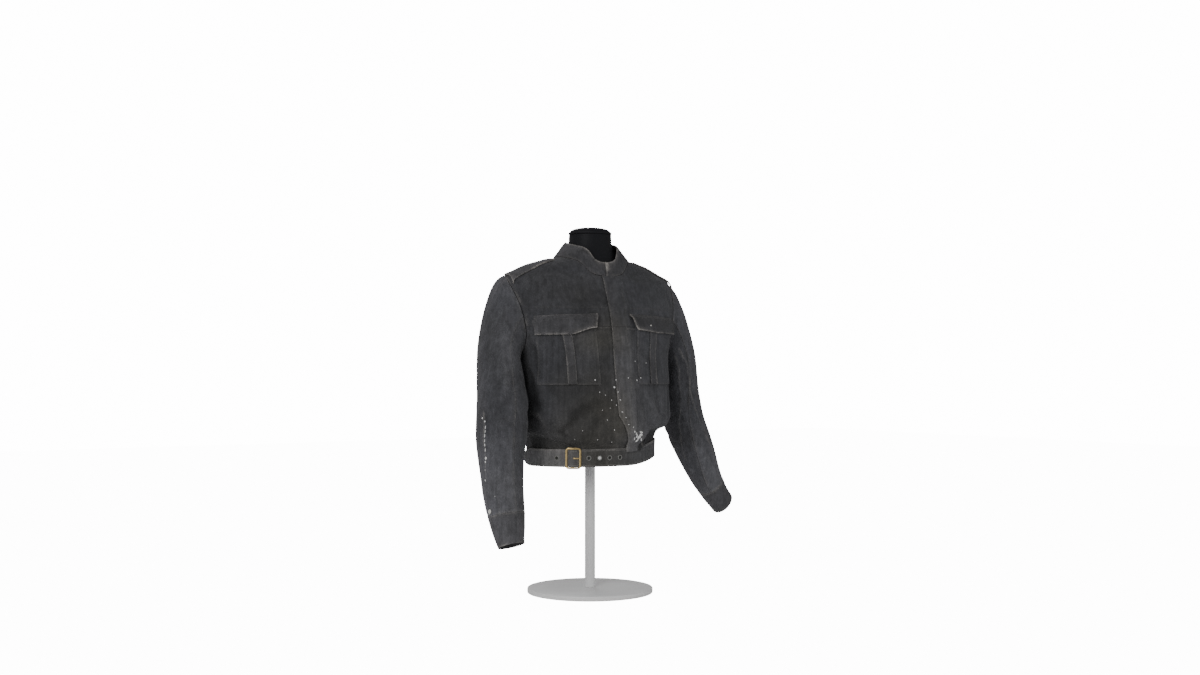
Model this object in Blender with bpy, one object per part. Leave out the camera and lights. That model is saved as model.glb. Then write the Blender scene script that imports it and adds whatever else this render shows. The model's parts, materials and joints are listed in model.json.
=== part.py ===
import functools
import math

import bmesh
import bpy
from mathutils import Vector

# A waist-length military blouson on a limbless dress form. Metres, +Z up.
# The origin is on the floor under the pole. The garment's front faces -Y, and
# the wearer's right sleeve is at -X. "Height" below is measured from the hem.

HEM_Z = 0.300
WALL = 0.002
SEAM_GAP = 0.0004
BOXINESS = 0.9

BAND_HEIGHT = 0.040
BAND_THICKNESS = 0.0025
BAND_LIFT = 0.0075
BAND_RISE = 0.018
BAND_RISE_LEFT = (4.0, 62.0)
BAND_RISE_BACK = (100.0, 180.0)
BAND_RISE_FADE = (0.050, 0.150)
OVERHANG_LEFT = (20.0, 65.0)
OVERHANG_LEFT_HIGH = (0.020, 14.0, 24.0, 28.0, 60.0)
OVERHANG_RIGHT = (38.0, 78.0)
OVERHANG_BACK = (100.0, 180.0)
OVERHANG_LIFTS = (0.011, 0.020, 0.014)
OVERHANG_START = (0.046, 0.055)
OVERHANG_FADE = (0.066, 0.156)
YOKE_SEAM = 0.331
NECK_HALF_WIDTH = 0.0905
NECK_FRONT_DEPTH = 0.0785
NECK_BACK_DEPTH = 0.0628
NECK_BOXINESS = 2.5
ARMPIT = 0.262
SHOULDER_POINT = 0.450
ARMHOLE_SWEEP = 25.0
ARMHOLE_EASE = 0.6

UNDERLAP_X = 0.026
LAP_LIFT = 0.0031
TAB_COLUMNS = (0.030, 0.045, 0.058, 0.071, 0.086)
TAB_BOTTOM = 0.032
TAB_LIFT = 0.0062
TAB_FADE = (0.046, 0.080)

# Height, half width, front depth, back depth, and where the sides lie in Y.
BODY_RINGS = [
    (0.000, 0.158, 0.1240, 0.118, 0.000),
    (0.040, 0.159, 0.1255, 0.119, 0.000),
    (0.046, 0.160, 0.1265, 0.120, 0.000),
    (0.051, 0.165, 0.1300, 0.124, 0.000),
    (0.056, 0.185, 0.1350, 0.132, 0.000),
    (0.064, 0.197, 0.1400, 0.139, 0.000),
    (0.078, 0.203, 0.1440, 0.143, 0.000),
    (0.100, 0.206, 0.1460, 0.144, 0.000),
    (0.150, 0.205, 0.1430, 0.141, 0.000),
    (0.210, 0.204, 0.1340, 0.135, 0.002),
    (0.262, 0.206, 0.1270, 0.129, 0.004),
    (0.300, 0.214, 0.1235, 0.124, 0.006),
    (0.340, 0.226, 0.1170, 0.117, 0.010),
    (0.380, 0.235, 0.1070, 0.108, 0.014),
    (0.410, 0.238, 0.0960, 0.099, 0.018),
    (0.430, 0.237, 0.0880, 0.091, 0.020),
    (0.445, 0.230, 0.0810, 0.084, 0.020),
    (0.4585, 0.201, 0.0740, 0.078, 0.019),
    (0.474, 0.165, 0.0700, 0.072, 0.016),
    (0.488, 0.117, 0.0670, 0.067, 0.011),
    (0.497, 0.092, 0.0640, 0.064, 0.006),
    (0.505, 0.083, 0.0620, 0.062, 0.002),
    (0.520, 0.078, 0.0600, 0.060, 0.000),
]

# Heights of the panels' rows of points, from the band up to the yoke seam.
PANEL_HEIGHTS = [
    BAND_HEIGHT + 0.0008, 0.047, 0.051, 0.056, 0.064, 0.078, 0.096, 0.125, 0.165,
    0.205, 0.240, ARMPIT, 0.2645, 0.270, 0.282, 0.302,
]
BACK_HEIGHTS = [
    YOKE_SEAM, 0.362, 0.392, 0.416, 0.430, 0.439, 0.4448, 0.4484, SHOULDER_POINT, 0.457, 0.466,
    0.476, 0.486, 0.4985,
]

# The left front's edge: height, and its distance from the centre front in X.
FRONT_EDGE = [
    (0.000, 0.018),
    (0.050, 0.016),
    (0.090, 0.004),
    (0.130, -0.016),
    (0.200, -0.018),
    (0.463, -0.018),
]

# Sleeve centrelines: height, x, y, half width sideways, half width fore and aft,
# and how far the section is turned, in degrees. x grows away from the body.
RIGHT_SLEEVE = [
    (0.240, 0.2570, -0.012, 0.0485, 0.060, 0.0),
    (0.190, 0.2620, -0.030, 0.0530, 0.061, 0.0),
    (0.150, 0.2670, -0.046, 0.0575, 0.062, 0.0),
    (0.090, 0.2780, -0.061, 0.058, 0.060, 0.0),
    (0.030, 0.2850, -0.073, 0.051, 0.056, 0.0),
    (-0.030, 0.2860, -0.083, 0.045, 0.052, 0.0),
    (-0.092, 0.2840, -0.095, 0.040, 0.047, 0.0),
    (-0.125, 0.2830, -0.103, 0.0355, 0.041, 0.0),
    (-0.160, 0.2820, -0.114, 0.0275, 0.035, 0.0),
]
LEFT_SLEEVE = [
    (0.240, 0.2560, 0.002, 0.0475, 0.060, 0.0),
    (0.190, 0.2680, 0.010, 0.0495, 0.061, 6.0),
    (0.150, 0.2810, 0.018, 0.0510, 0.061, 12.0),
    (0.090, 0.3060, 0.028, 0.0510, 0.060, 20.0),
    (0.028, 0.3390, 0.032, 0.048, 0.057, 28.0),
    (-0.030, 0.3710, 0.036, 0.041, 0.054, 33.0),
    (-0.062, 0.3920, 0.038, 0.036, 0.051, 33.0),
    (-0.088, 0.4110, 0.038, 0.032, 0.050, 33.0),
    (-0.112, 0.4300, 0.036, 0.030, 0.049, 33.0),
]
CUFF_ROW = 6
SLEEVE_FRONT_SEAM = 92.0
SLEEVE_BACK_SEAM = -100.0
SLEEVE_SEAM_GAP = 0.5
CAP_FULLNESS = 0.105

COLLAR_TOP_HALF_WIDTH = 0.0585
COLLAR_TOP_FRONT = 0.071
COLLAR_TOP_BACK = 0.0560
COLLAR_FRONT_HEIGHT = 0.0335
COLLAR_BACK_HEIGHT = 0.037
COLLAR_LAP = (-1.6, 14.0)
COLLAR_LAP_LIFT = 0.0030
COLLAR_END = 359.6
COLLAR_GAP = 0.0018

# Angles from the centre front, for the wearer's right and left side.
POCKET_INNER = {-1: 14.0, 1: 12.3}
POCKET_OUTER = (64.0, 58.5)
POCKET_TOP = 0.344
POCKET_BOTTOM = 0.196
FLAP_INNER = {-1: (11.0, 13.8), 1: (7.6, 11.4)}
FLAP_OUTER = (56.0, 59.2)
FLAP_TOP = (0.3610, 0.3540)
FLAP_BOTTOM = {-1: 0.3110, 1: 0.3175}
FLAP_RISE = {-1: 0.0155, 1: 0.0050}
PLEAT_MIDDLE = {-1: 34.4, 1: 26.0}
PLEAT_HALF_WIDTH = 3.4
CLOTH_ON_CLOTH = 0.0004
FLAP_LIFT = 0.0062

EPAULETTE_OUTER_X = 0.215
EPAULETTE_INNER_X = 0.112
EPAULETTE_HALF_WIDTHS = (0.0275, 0.022)
EPAULETTE_MIDDLE_Y = (-0.001, 0.001)
EPAULETTE_THICKNESS = 0.0032
EPAULETTE_CLEARANCE = 0.0012

BELT_FIXED_END = 88.0
BELT_TIP = -100.0
BELT_TIP_LENGTH = 0.036
BELT_THICKNESS = 0.0025
BUCKLE_ANGLE = -41.0
BUCKLE_SIZE = (0.036, 0.052)
BUCKLE_WIRE = 0.0042
BUCKLE_THICKNESS = 0.0026
BUCKLE_CORNER = 0.005
BUCKLE_BOW = 0.0022
BUCKLE_STAND_OFF = 0.0036
BAR_SIZE = (0.0032, 0.0020)
BAR_BEHIND = 0.0017
PRONG_SIZE = (0.0028, 0.0018)
EYELET_ANGLES = (0.0, -8.3, -17.0, -26.7, -57.7)
EYELET_RADIUS = 0.0048
EYELET_WIRE = 0.0013

# The form: height, half width, front depth, back depth, and the sides' Y.
FORM_RINGS = [
    (0.018, 0.139, 0.0990, 0.0930, 0.000),
    (0.030, 0.142, 0.1020, 0.0960, 0.000),
    (0.090, 0.150, 0.1080, 0.1040, 0.000),
    (0.170, 0.160, 0.1110, 0.1090, 0.000),
    (0.250, 0.172, 0.1100, 0.1110, 0.002),
    (0.310, 0.182, 0.1060, 0.1080, 0.006),
    (0.360, 0.189, 0.0980, 0.1000, 0.012),
    (0.400, 0.192, 0.0880, 0.0910, 0.016),
    (0.430, 0.192, 0.0780, 0.0820, 0.020),
    (0.450, 0.1905, 0.0740, 0.0770, 0.019),
    (0.4605, 0.1885, 0.0700, 0.0730, 0.018),
    (0.4705, 0.1645, 0.0670, 0.0692, 0.016),
    (0.4845, 0.1140, 0.0625, 0.0640, 0.011),
    (0.494, 0.0850, 0.0575, 0.0600, 0.006),
    (0.502, 0.0740, 0.0550, 0.0565, 0.002),
    (0.516, 0.057, 0.0510, 0.0520, 0.000),
    (0.530, 0.0510, 0.0495, 0.0505, 0.000),
    (0.553, 0.0495, 0.0495, 0.0495, 0.000),
]
CAP_LIP_RADIUS = 0.0516
CAP_LIP_HEIGHT = 0.0065
CAP_DOME_HEIGHT = 0.0115
POLE_RADIUS = 0.0125
BASE_RADIUS = 0.150
BASE_THICKNESS = 0.012


def clear_scene():
    for old in list(bpy.data.objects):
        bpy.data.objects.remove(old, do_unlink=True)


def make_material(name, colour, roughness, metallic=0.0):
    material = bpy.data.materials.new(name)
    material.use_nodes = True
    shader = material.node_tree.nodes["Principled BSDF"]
    shader.inputs["Base Color"].default_value = (*colour, 1.0)
    shader.inputs["Roughness"].default_value = roughness
    shader.inputs["Metallic"].default_value = metallic
    material.diffuse_color = (*colour, 1.0)
    return material


def ease(value):
    value = min(max(value, 0.0), 1.0)
    return value * value * (3.0 - 2.0 * value)


def ramp(value, ends):
    return ease((value - ends[0]) / (ends[1] - ends[0]))


def table_value(rows, column, at):
    # A smooth curve through one column of a table, with no overshoot.
    keys = [row[0] for row in rows]
    flip = keys[0] > keys[-1]
    if flip:
        keys = [-key for key in keys]
        at = -at
    at = min(max(at, keys[0]), keys[-1])
    low = 0
    while low < len(keys) - 2 and keys[low + 1] < at:
        low += 1
    values = [row[column] for row in rows]

    def slope(index):
        if index in (0, len(keys) - 1):
            near = 0 if index == 0 else len(keys) - 2
            return (values[near + 1] - values[near]) / (keys[near + 1] - keys[near])
        before = (values[index] - values[index - 1]) / (keys[index] - keys[index - 1])
        after = (values[index + 1] - values[index]) / (keys[index + 1] - keys[index])
        if before * after <= 0.0:
            return 0.0
        return 2.0 * before * after / (before + after)

    span = keys[low + 1] - keys[low]
    u = (at - keys[low]) / span
    return (
        (2 * u**3 - 3 * u**2 + 1) * values[low]
        + (u**3 - 2 * u**2 + u) * span * slope(low)
        + (3 * u**2 - 2 * u**3) * values[low + 1]
        + (u**3 - u**2) * span * slope(low + 1)
    )


def signed_power(value, power):
    return math.copysign(abs(value) ** power, value)


def band_rise(angle):
    # The waistband sits a little higher at the wearer's left and behind.
    turned = (angle + 180.0) % 360.0 - 180.0
    if turned >= 0.0:
        return BAND_LIFT + BAND_RISE * ramp(turned, BAND_RISE_LEFT)
    return BAND_LIFT + BAND_RISE * ramp(-turned, BAND_RISE_BACK)


def overhang_lift(angle, height):
    # The blouse's fold over the band hangs lowest in front, and jumps up beside the tab.
    turned = (angle + 180.0) % 360.0 - 180.0
    left, right, back_drop = OVERHANG_LIFTS
    if turned >= 0.0:
        high = OVERHANG_LEFT_HIGH
        lift = left * ramp(turned, OVERHANG_LEFT)
        lift += high[0] * ramp(turned, high[1:3]) * (1.0 - ramp(turned, high[3:]))
    else:
        lift = right * ramp(-turned, OVERHANG_RIGHT) - back_drop * ramp(-turned, OVERHANG_BACK)
    return lift * ramp(height, OVERHANG_START) * (1.0 - ramp(height, OVERHANG_FADE))


def ring_point(rows, angle, height):
    half_width, front, back, side_y = (
        table_value(rows, column, height) for column in (1, 2, 3, 4)
    )
    radians = math.radians(angle)
    across = signed_power(math.sin(radians), BOXINESS)
    ahead = signed_power(math.cos(radians), BOXINESS)
    depth = front + side_y if ahead > 0.0 else back - side_y
    return Vector((half_width * across, side_y - depth * ahead, HEM_Z + height))


def body_surface(angle, height):
    point = ring_point(BODY_RINGS, angle, height)
    point.z += band_rise(angle) * (1.0 - ramp(height, BAND_RISE_FADE))
    point.z += overhang_lift(angle, height)
    return point


def body_point(angle, height, out=0.0):
    along = body_surface(angle + 0.4, height) - body_surface(angle - 0.4, height)
    up = body_surface(angle, height + 0.001) - body_surface(angle, height - 0.001)
    return body_surface(angle, height) + along.cross(up).normalized() * out


def angle_at(x, height):
    half_width = table_value(BODY_RINGS, 1, height)
    return math.degrees(math.asin(signed_power(x / half_width, 1.0 / BOXINESS)))


@functools.lru_cache(maxsize=None)
def neckline(angle):
    # The height at which the body's surface passes the neckline's oval plan.
    low, high = 0.440, 0.5195
    for _ in range(30):
        middle = (low + high) / 2.0
        point = ring_point(BODY_RINGS, angle, middle)
        depth = NECK_FRONT_DEPTH if point.y < 0.0 else NECK_BACK_DEPTH
        inside = abs(point.x / NECK_HALF_WIDTH) ** NECK_BOXINESS
        if inside + abs(point.y / depth) ** NECK_BOXINESS > 1.0:
            low = middle
        else:
            high = middle
    return low


def armhole_angle(height):
    # Degrees from the side at which the armhole's edge lies at this height.
    middle = (ARMPIT + SHOULDER_POINT) / 2.0
    reach = (SHOULDER_POINT - ARMPIT) / 2.0
    inside = 1.0 - ((height - middle) / reach) ** 2
    return ARMHOLE_SWEEP * math.sqrt(inside) if inside > 0.0 else 0.0


def add_object(name, bm, material):
    bmesh.ops.recalc_face_normals(bm, faces=bm.faces)
    mesh = bpy.data.meshes.new(name)
    bm.to_mesh(mesh)
    bm.free()
    mesh.materials.append(material)
    mesh.shade_smooth()
    mesh.set_sharp_from_angle(angle=math.radians(35.0))
    thing = bpy.data.objects.new(name, mesh)
    bpy.context.scene.collection.objects.link(thing)
    return thing


def add_wall(name, outer, inner, material, closed=False):
    # A cloth wall between two matching grids of points: rows, then columns.
    bm = bmesh.new()
    rows = len(outer)
    columns = len(outer[0])
    skins = [
        [[bm.verts.new(point) for point in row] for row in grid]
        for grid in (outer, inner)
    ]
    steps = columns if closed else columns - 1
    for skin in skins:
        for row in range(rows - 1):
            for column in range(steps):
                after = (column + 1) % columns
                bm.faces.new(
                    (
                        skin[row][column],
                        skin[row][after],
                        skin[row + 1][after],
                        skin[row + 1][column],
                    )
                )
    front, back = skins
    for row in (0, rows - 1):
        for column in range(steps):
            after = (column + 1) % columns
            bm.faces.new(
                (front[row][column], front[row][after], back[row][after], back[row][column])
            )
    if not closed:
        for column in (0, columns - 1):
            for row in range(rows - 1):
                bm.faces.new(
                    (
                        front[row][column],
                        front[row + 1][column],
                        back[row + 1][column],
                        back[row][column],
                    )
                )
    return add_object(name, bm, material)


def body_wall(name, places, material, thickness=WALL, closed=False):
    # places is a grid of angle, height and how far the outer face stands out.
    outer = [[body_point(*place) for place in row] for row in places]
    inner = [
        [body_point(angle, height, out - thickness) for angle, height, out in row]
        for row in places
    ]
    return add_wall(name, outer, inner, material, closed)


def side_edge(side, height):
    # The side seam, the armhole's edge or the shoulder seam, whichever is here.
    seam = math.degrees(SEAM_GAP / 2.0 / table_value(BODY_RINGS, 2, height))
    return side * (90.0 - max(armhole_angle(height), seam))


def front_lift(side, x, height):
    # The left front laps over the right one, and its tab hangs over the belt.
    if side < 0:
        return 0.0
    lap = 1.0 - ramp(x, TAB_COLUMNS[:2])
    tab = 1.0 - ramp(x, TAB_COLUMNS[3:])
    tab *= 1.0 - ramp(height, TAB_FADE)
    return max(LAP_LIFT * lap, TAB_LIFT * tab)


def front_edge_x(side, height):
    return table_value(FRONT_EDGE, 1, height) if side > 0 else UNDERLAP_X


def make_lower_front(name, side, material):
    heights = PANEL_HEIGHTS + [YOKE_SEAM - SEAM_GAP]
    places = []
    for height in heights:
        edge = front_edge_x(side, height)
        end = side_edge(side, height)
        columns = [edge]
        if side > 0:
            columns += [(edge + TAB_COLUMNS[0]) / 2.0, *TAB_COLUMNS]
        angles = [angle_at(x, height) for x in columns]
        rest = 7 if side > 0 else 10
        start = angles[-1]
        angles += [start + (end - start) * step / rest for step in range(1, rest + 1)]
        row = []
        for angle in angles:
            x = ring_point(BODY_RINGS, angle, height).x
            low = height
            if side > 0 and height == heights[0] and x < TAB_COLUMNS[2] + 0.001:
                low = TAB_BOTTOM
            row.append((angle, low, front_lift(side, x, low)))
        places.append(row)
    return body_wall(name, places, material)


def make_yoke(name, side, material):
    # Its first columns lie at these distances in X, and the rest fan out to the
    # armhole and close up towards the shoulder seam.
    edge = front_edge_x(side, YOKE_SEAM)
    near = [edge, 0.004, -0.018, -0.040]
    if side > 0:
        near = [edge, (edge + TAB_COLUMNS[0]) / 2.0, *TAB_COLUMNS[:2]]
    rows = 13
    rest = 8
    places = []
    for row in range(rows):
        v = row / (rows - 1)
        line = []
        for column in range(len(near) + rest):
            share = max(column - len(near) + 1, 0) / rest
            u = 1.0 - (1.0 - share) ** 1.3
            angle = side * 45.0
            height = YOKE_SEAM
            for _ in range(12):
                top = neckline(angle) - SEAM_GAP / 2.0
                height = YOKE_SEAM + v * (top - YOKE_SEAM)
                angle = angle_at(near[min(column, len(near) - 1)], height)
                angle += u * (side_edge(side, height) - angle)
            x = ring_point(BODY_RINGS, angle, height).x
            line.append((angle, height, front_lift(side, x, height)))
        places.append(line)
    return body_wall(name, places, material)


def make_back(name, material):
    columns = 17
    side_top = neckline(90.0)
    heights = PANEL_HEIGHTS + BACK_HEIGHTS
    places = []
    for height in heights:
        row = []
        for column in range(columns):
            u = 2.0 * column / (columns - 1) - 1.0
            u = math.copysign(1.0 - (1.0 - abs(u)) ** 1.5, u)
            reach = abs(side_edge(1, min(height, side_top)))
            angle = 180.0 - u * reach
            share = ramp(height, (SHOULDER_POINT, side_top))
            lift = share * (neckline(angle) - side_top)
            row.append((angle, min(height, side_top) + lift - share * SEAM_GAP / 2.0, 0.0))
        places.append(row)
    return body_wall(name, places, material)


def top_surface(px, py):
    # The place on top of the shoulders at this plan position.
    def lies_outside(height):
        half_width, front, back, side_y = (
            table_value(BODY_RINGS, column, height) for column in (1, 2, 3, 4)
        )
        depth = front + side_y if py < side_y else back - side_y
        power = 2.0 / BOXINESS
        return (abs(px) / half_width) ** power + (abs(py - side_y) / depth) ** power > 1.0

    low, high = 0.38, 0.52
    for _ in range(34):
        middle = (low + high) / 2.0
        if lies_outside(middle):
            high = middle
        else:
            low = middle
    return Vector((px, py, HEM_Z + low))


def collar_point(turn, share, out):
    # turn is the direction round the neck: 0 is ahead and 90 the wearer's left.
    radians = math.radians(turn)
    across = signed_power(math.sin(radians), 2.0 / NECK_BOXINESS)
    ahead = signed_power(math.cos(radians), 2.0 / NECK_BOXINESS)
    depth = NECK_FRONT_DEPTH if ahead > 0.0 else NECK_BACK_DEPTH
    base = top_surface(NECK_HALF_WIDTH * across, -depth * ahead)
    base.z += COLLAR_GAP
    depth = COLLAR_TOP_FRONT if ahead > 0.0 else COLLAR_TOP_BACK
    behind = (1.0 - math.cos(radians)) / 2.0
    rise = COLLAR_FRONT_HEIGHT + (COLLAR_BACK_HEIGHT - COLLAR_FRONT_HEIGHT) * behind
    top = Vector((COLLAR_TOP_HALF_WIDTH * across, -depth * ahead, base.z + rise))
    point = base.lerp(top, share)
    # The wall's thickness lies level, towards or away from the neck.
    level = Vector((point.x, point.y, 0.0)).normalized()
    return point + level * out


def collar_turns(count):
    # Directions that split the collar's base into equal lengths.
    first = COLLAR_LAP[0]
    steps = 240
    turns = [first + (COLLAR_END - first) * step / steps for step in range(steps + 1)]
    bases = [collar_point(turn, 0.0, 0.0) for turn in turns]
    lengths = [0.0]
    for here, after in zip(bases, bases[1:]):
        lengths.append(lengths[-1] + (after - here).length)
    found = []
    for column in range(count):
        target = lengths[-1] * column / (count - 1)
        index = next(i for i in range(1, steps + 1) if i == steps or lengths[i] >= target)
        part = (target - lengths[index - 1]) / (lengths[index] - lengths[index - 1])
        found.append(turns[index - 1] + part * (turns[index] - turns[index - 1]))
    return found


def make_collar(name, material):
    # Its left end laps over its right one at the centre front.
    turns = collar_turns(44)
    grids = []
    for out in (0.0, -WALL):
        grid = []
        for share in (0.0, 0.5, 1.0):
            row = []
            for turn in turns:
                lap = COLLAR_LAP_LIFT * (1.0 - ramp(turn, COLLAR_LAP))
                row.append(collar_point(turn, share, out + lap))
            grid.append(row)
        grids.append(grid)
    return add_wall(name, grids[0], grids[1], material)


def sleeve_centre(rows, side, height):
    x = table_value(rows, 1, height)
    y = table_value(rows, 2, height)
    return Vector((side * x, y, HEM_Z + height))


def sleeve_tube(rows, side, angle, height):
    # A ring of the sleeve's tube: angle 0 is outermost and 90 faces forward.
    step = 0.004
    low = max(height - step, rows[-1][0])
    high = min(height + step, rows[0][0])
    down = (sleeve_centre(rows, side, low) - sleeve_centre(rows, side, high)).normalized()
    turn = math.radians(table_value(rows, 5, height))
    outward = Vector((side * math.cos(turn), -math.sin(turn), 0.0))
    outward = (outward - down * outward.dot(down)).normalized()
    forward = outward.cross(down).normalized()
    if forward.y > 0.0:
        forward.negate()
    half_side = table_value(rows, 3, height)
    half_fore = table_value(rows, 4, height)
    radians = math.radians(angle)
    return (
        sleeve_centre(rows, side, height)
        + outward * (half_side * math.cos(radians))
        + forward * (half_fore * math.sin(radians))
    )


def armhole_point(side, angle):
    radians = math.radians(angle)
    middle = (ARMPIT + SHOULDER_POINT) / 2.0
    reach = (SHOULDER_POINT - ARMPIT) / 2.0 + SEAM_GAP
    sweep = (ARMHOLE_SWEEP - ARMHOLE_EASE) * math.sin(radians)
    height = middle + reach * math.cos(radians)
    # Under the arm it starts a little further from the body's side.
    return body_point(side * (90.0 - sweep), height, 0.0014 - 0.0004 * math.cos(radians))


def sleeve_surface(rows, side, angle, place):
    # place runs 0 to 1 over the sleeve head, and from 1 to 2 down the tube.
    top = rows[0][0]
    bottom = rows[CUFF_ROW][0] + SEAM_GAP / 2.0
    if place >= 1.0:
        return sleeve_tube(rows, side, angle, top + (place - 1.0) * (bottom - top))
    start = armhole_point(side, angle)
    end = sleeve_tube(rows, side, angle, top)
    after = sleeve_tube(rows, side, angle, top - 0.004)
    reach = (end - start).length
    outer = (1.0 + math.cos(math.radians(angle))) / 2.0
    leave = Vector((side, 0.0, -0.25)) * CAP_FULLNESS * outer
    leave += Vector((side * 0.25, 0.0, -1.0)) * reach * (1.0 - outer)
    arrive = (after - end).normalized() * reach
    u = place
    return (
        start * (2 * u**3 - 3 * u**2 + 1)
        + leave * (u**3 - 2 * u**2 + u)
        + end * (3 * u**2 - 2 * u**3)
        + arrive * (u**3 - u**2)
    )


def sleeve_point(rows, side, angle, place, out):
    point = sleeve_surface(rows, side, angle, place)
    near = max(place - 0.02, 0.0)
    far = min(place + 0.02, 2.0)
    around = sleeve_surface(rows, side, angle + 1.0, place)
    around -= sleeve_surface(rows, side, angle - 1.0, place)
    along = sleeve_surface(rows, side, angle, far) - sleeve_surface(rows, side, angle, near)
    return point + along.cross(around).normalized() * (-side * out)


def make_sleeve_panel(name, side, rows, first, last, columns, material):
    places = [0.005, 0.16, 0.34, 0.56, 0.80]
    places += [1.0 + step / 9.0 for step in range(10)]
    grids = []
    for out in (0.0, -WALL):
        grids.append(
            [
                [
                    sleeve_point(
                        rows, side, first + (last - first) * column / (columns - 1), place, out
                    )
                    for column in range(columns)
                ]
                for place in places
            ]
        )
    return add_wall(name, grids[0], grids[1], material)


def make_cuff(name, side, rows, material):
    columns = 22
    top = rows[CUFF_ROW][0] - SEAM_GAP / 2.0
    bottom = rows[-1][0]
    grids = []
    for out in (0.0004, 0.0004 - WALL):
        grid = []
        for step in range(4):
            height = top + (bottom - top) * step / 3.0
            centre = sleeve_centre(rows, side, height)
            row = []
            for column in range(columns):
                point = sleeve_tube(rows, side, 360.0 * column / columns, height)
                row.append(point + (point - centre).normalized() * out)
            grid.append(row)
        grids.append(grid)
    return add_wall(name, grids[0], grids[1], material, closed=True)


def make_pocket(name, side, material):
    places = []
    inner = POCKET_INNER[side]
    for height in (POCKET_BOTTOM, 0.212, 0.235, 0.262, 0.290, 0.318, POCKET_TOP):
        share = (height - POCKET_BOTTOM) / (POCKET_TOP - POCKET_BOTTOM)
        outer = POCKET_OUTER[0] + (POCKET_OUTER[1] - POCKET_OUTER[0]) * share
        row = []
        for step in range(9):
            angle = side * (inner + (outer - inner) * step / 8.0)
            row.append((angle, height, CLOTH_ON_CLOTH + WALL))
        places.append(row)
    return body_wall(name, places, material)


def make_pleat(name, side, material):
    middle = PLEAT_MIDDLE[side]
    lift = 2.0 * (CLOTH_ON_CLOTH + WALL)
    places = []
    for height in (POCKET_BOTTOM + 0.001, 0.235, 0.275, 0.318, POCKET_TOP - 0.001):
        row = []
        for share in (-1.0, 0.0, 1.0):
            row.append((side * (middle + share * PLEAT_HALF_WIDTH), height, lift))
        places.append(row)
    return body_wall(name, places, material)


def make_flap(name, side, material):
    places = []
    for share in (0.0, 0.12, 0.25, 0.6, 1.0):
        inner, outer = (
            edge[0] + (edge[1] - edge[0]) * share for edge in (FLAP_INNER[side], FLAP_OUTER)
        )
        row = []
        for step in range(11):
            u = step / 10.0
            angle = side * (inner + (outer - inner) * u)
            top = FLAP_TOP[0] + (FLAP_TOP[1] - FLAP_TOP[0]) * u
            bottom = FLAP_BOTTOM[side] + FLAP_RISE[side] * (1.0 - ease(u / 0.42))
            height = top + share * (bottom - top)
            lift = CLOTH_ON_CLOTH + (FLAP_LIFT - CLOTH_ON_CLOTH) * ease(share / 0.24)
            lift += front_lift(side, ring_point(BODY_RINGS, angle, height).x, height)
            row.append((angle, height, lift + WALL))
        places.append(row)
    return body_wall(name, places, material)


def shoulder_point(x, y, out):
    # A point above or below the shoulder.
    step = 0.002
    across = top_surface(x + step, y) - top_surface(x - step, y)
    ahead = top_surface(x, y + step) - top_surface(x, y - step)
    return top_surface(x, y) + across.cross(ahead).normalized() * out


def make_epaulette(name, side, material):
    rows = 9
    columns = 7
    grids = []
    for out in (EPAULETTE_CLEARANCE + EPAULETTE_THICKNESS, EPAULETTE_CLEARANCE):
        grid = []
        for row in range(rows):
            share = row / (rows - 1)
            x = side * (EPAULETTE_OUTER_X + share * (EPAULETTE_INNER_X - EPAULETTE_OUTER_X))
            wide, narrow = EPAULETTE_HALF_WIDTHS
            half = wide + share * (narrow - wide)
            middle = EPAULETTE_MIDDLE_Y[0]
            middle += share * (EPAULETTE_MIDDLE_Y[1] - EPAULETTE_MIDDLE_Y[0])
            line = []
            for column in range(columns):
                across = 2.0 * column / (columns - 1) - 1.0
                line.append(shoulder_point(x, middle + across * half, out))
            grid.append(line)
        grids.append(grid)
    return add_wall(name, grids[0], grids[1], material)


def make_waistband(name, material):
    columns = 45
    first, last = 8.0, 322.0
    places = []
    for height in (0.0, BAND_HEIGHT / 2.0, BAND_HEIGHT):
        row = []
        for column in range(columns):
            row.append((first + (last - first) * column / (columns - 1), height, 0.0))
        places.append(row)
    return body_wall(name, places, material, BAND_THICKNESS)


def belt_out(angle):
    # How far the belt's outer face stands off: more over the buckle's bar, and
    # its free tip leans away from the waist.
    lift = 0.0042 * math.exp(-(((angle - BUCKLE_ANGLE) / 9.0) ** 2))
    tip = 0.005 * ease((-angle - 78.0) / 28.0)
    return CLOTH_ON_CLOTH + BELT_THICKNESS + lift + tip


def make_belt(name, material):
    columns = 43
    places = []
    for share in (0.0, 0.5, 1.0):
        row = []
        for column in range(columns):
            angle = BELT_FIXED_END + (BELT_TIP - BELT_FIXED_END) * column / (columns - 1)
            # The tip is round: its edges close in over its last stretch.
            left = math.radians(angle - BELT_TIP) * 0.150 / BELT_TIP_LENGTH
            half = math.sqrt(max(1.0 - (1.0 - min(left, 1.0)) ** 2, 0.03))
            height = BAND_HEIGHT / 2.0 + (share - 0.5) * (BAND_HEIGHT - 0.001) * half
            row.append((angle, height, belt_out(angle)))
        places.append(row)
    return body_wall(name, places, material, BELT_THICKNESS)


def band_frame(angle, out):
    # Place and axes on the band at mid height: outward, along and up.
    centre = body_point(angle, BAND_HEIGHT / 2.0, out)
    outward = (body_point(angle, BAND_HEIGHT / 2.0, out + 0.01) - centre).normalized()
    up = Vector((0.0, 0.0, 1.0))
    up = (up - outward * up.dot(outward)).normalized()
    return centre, outward, up.cross(outward).normalized(), up


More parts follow.
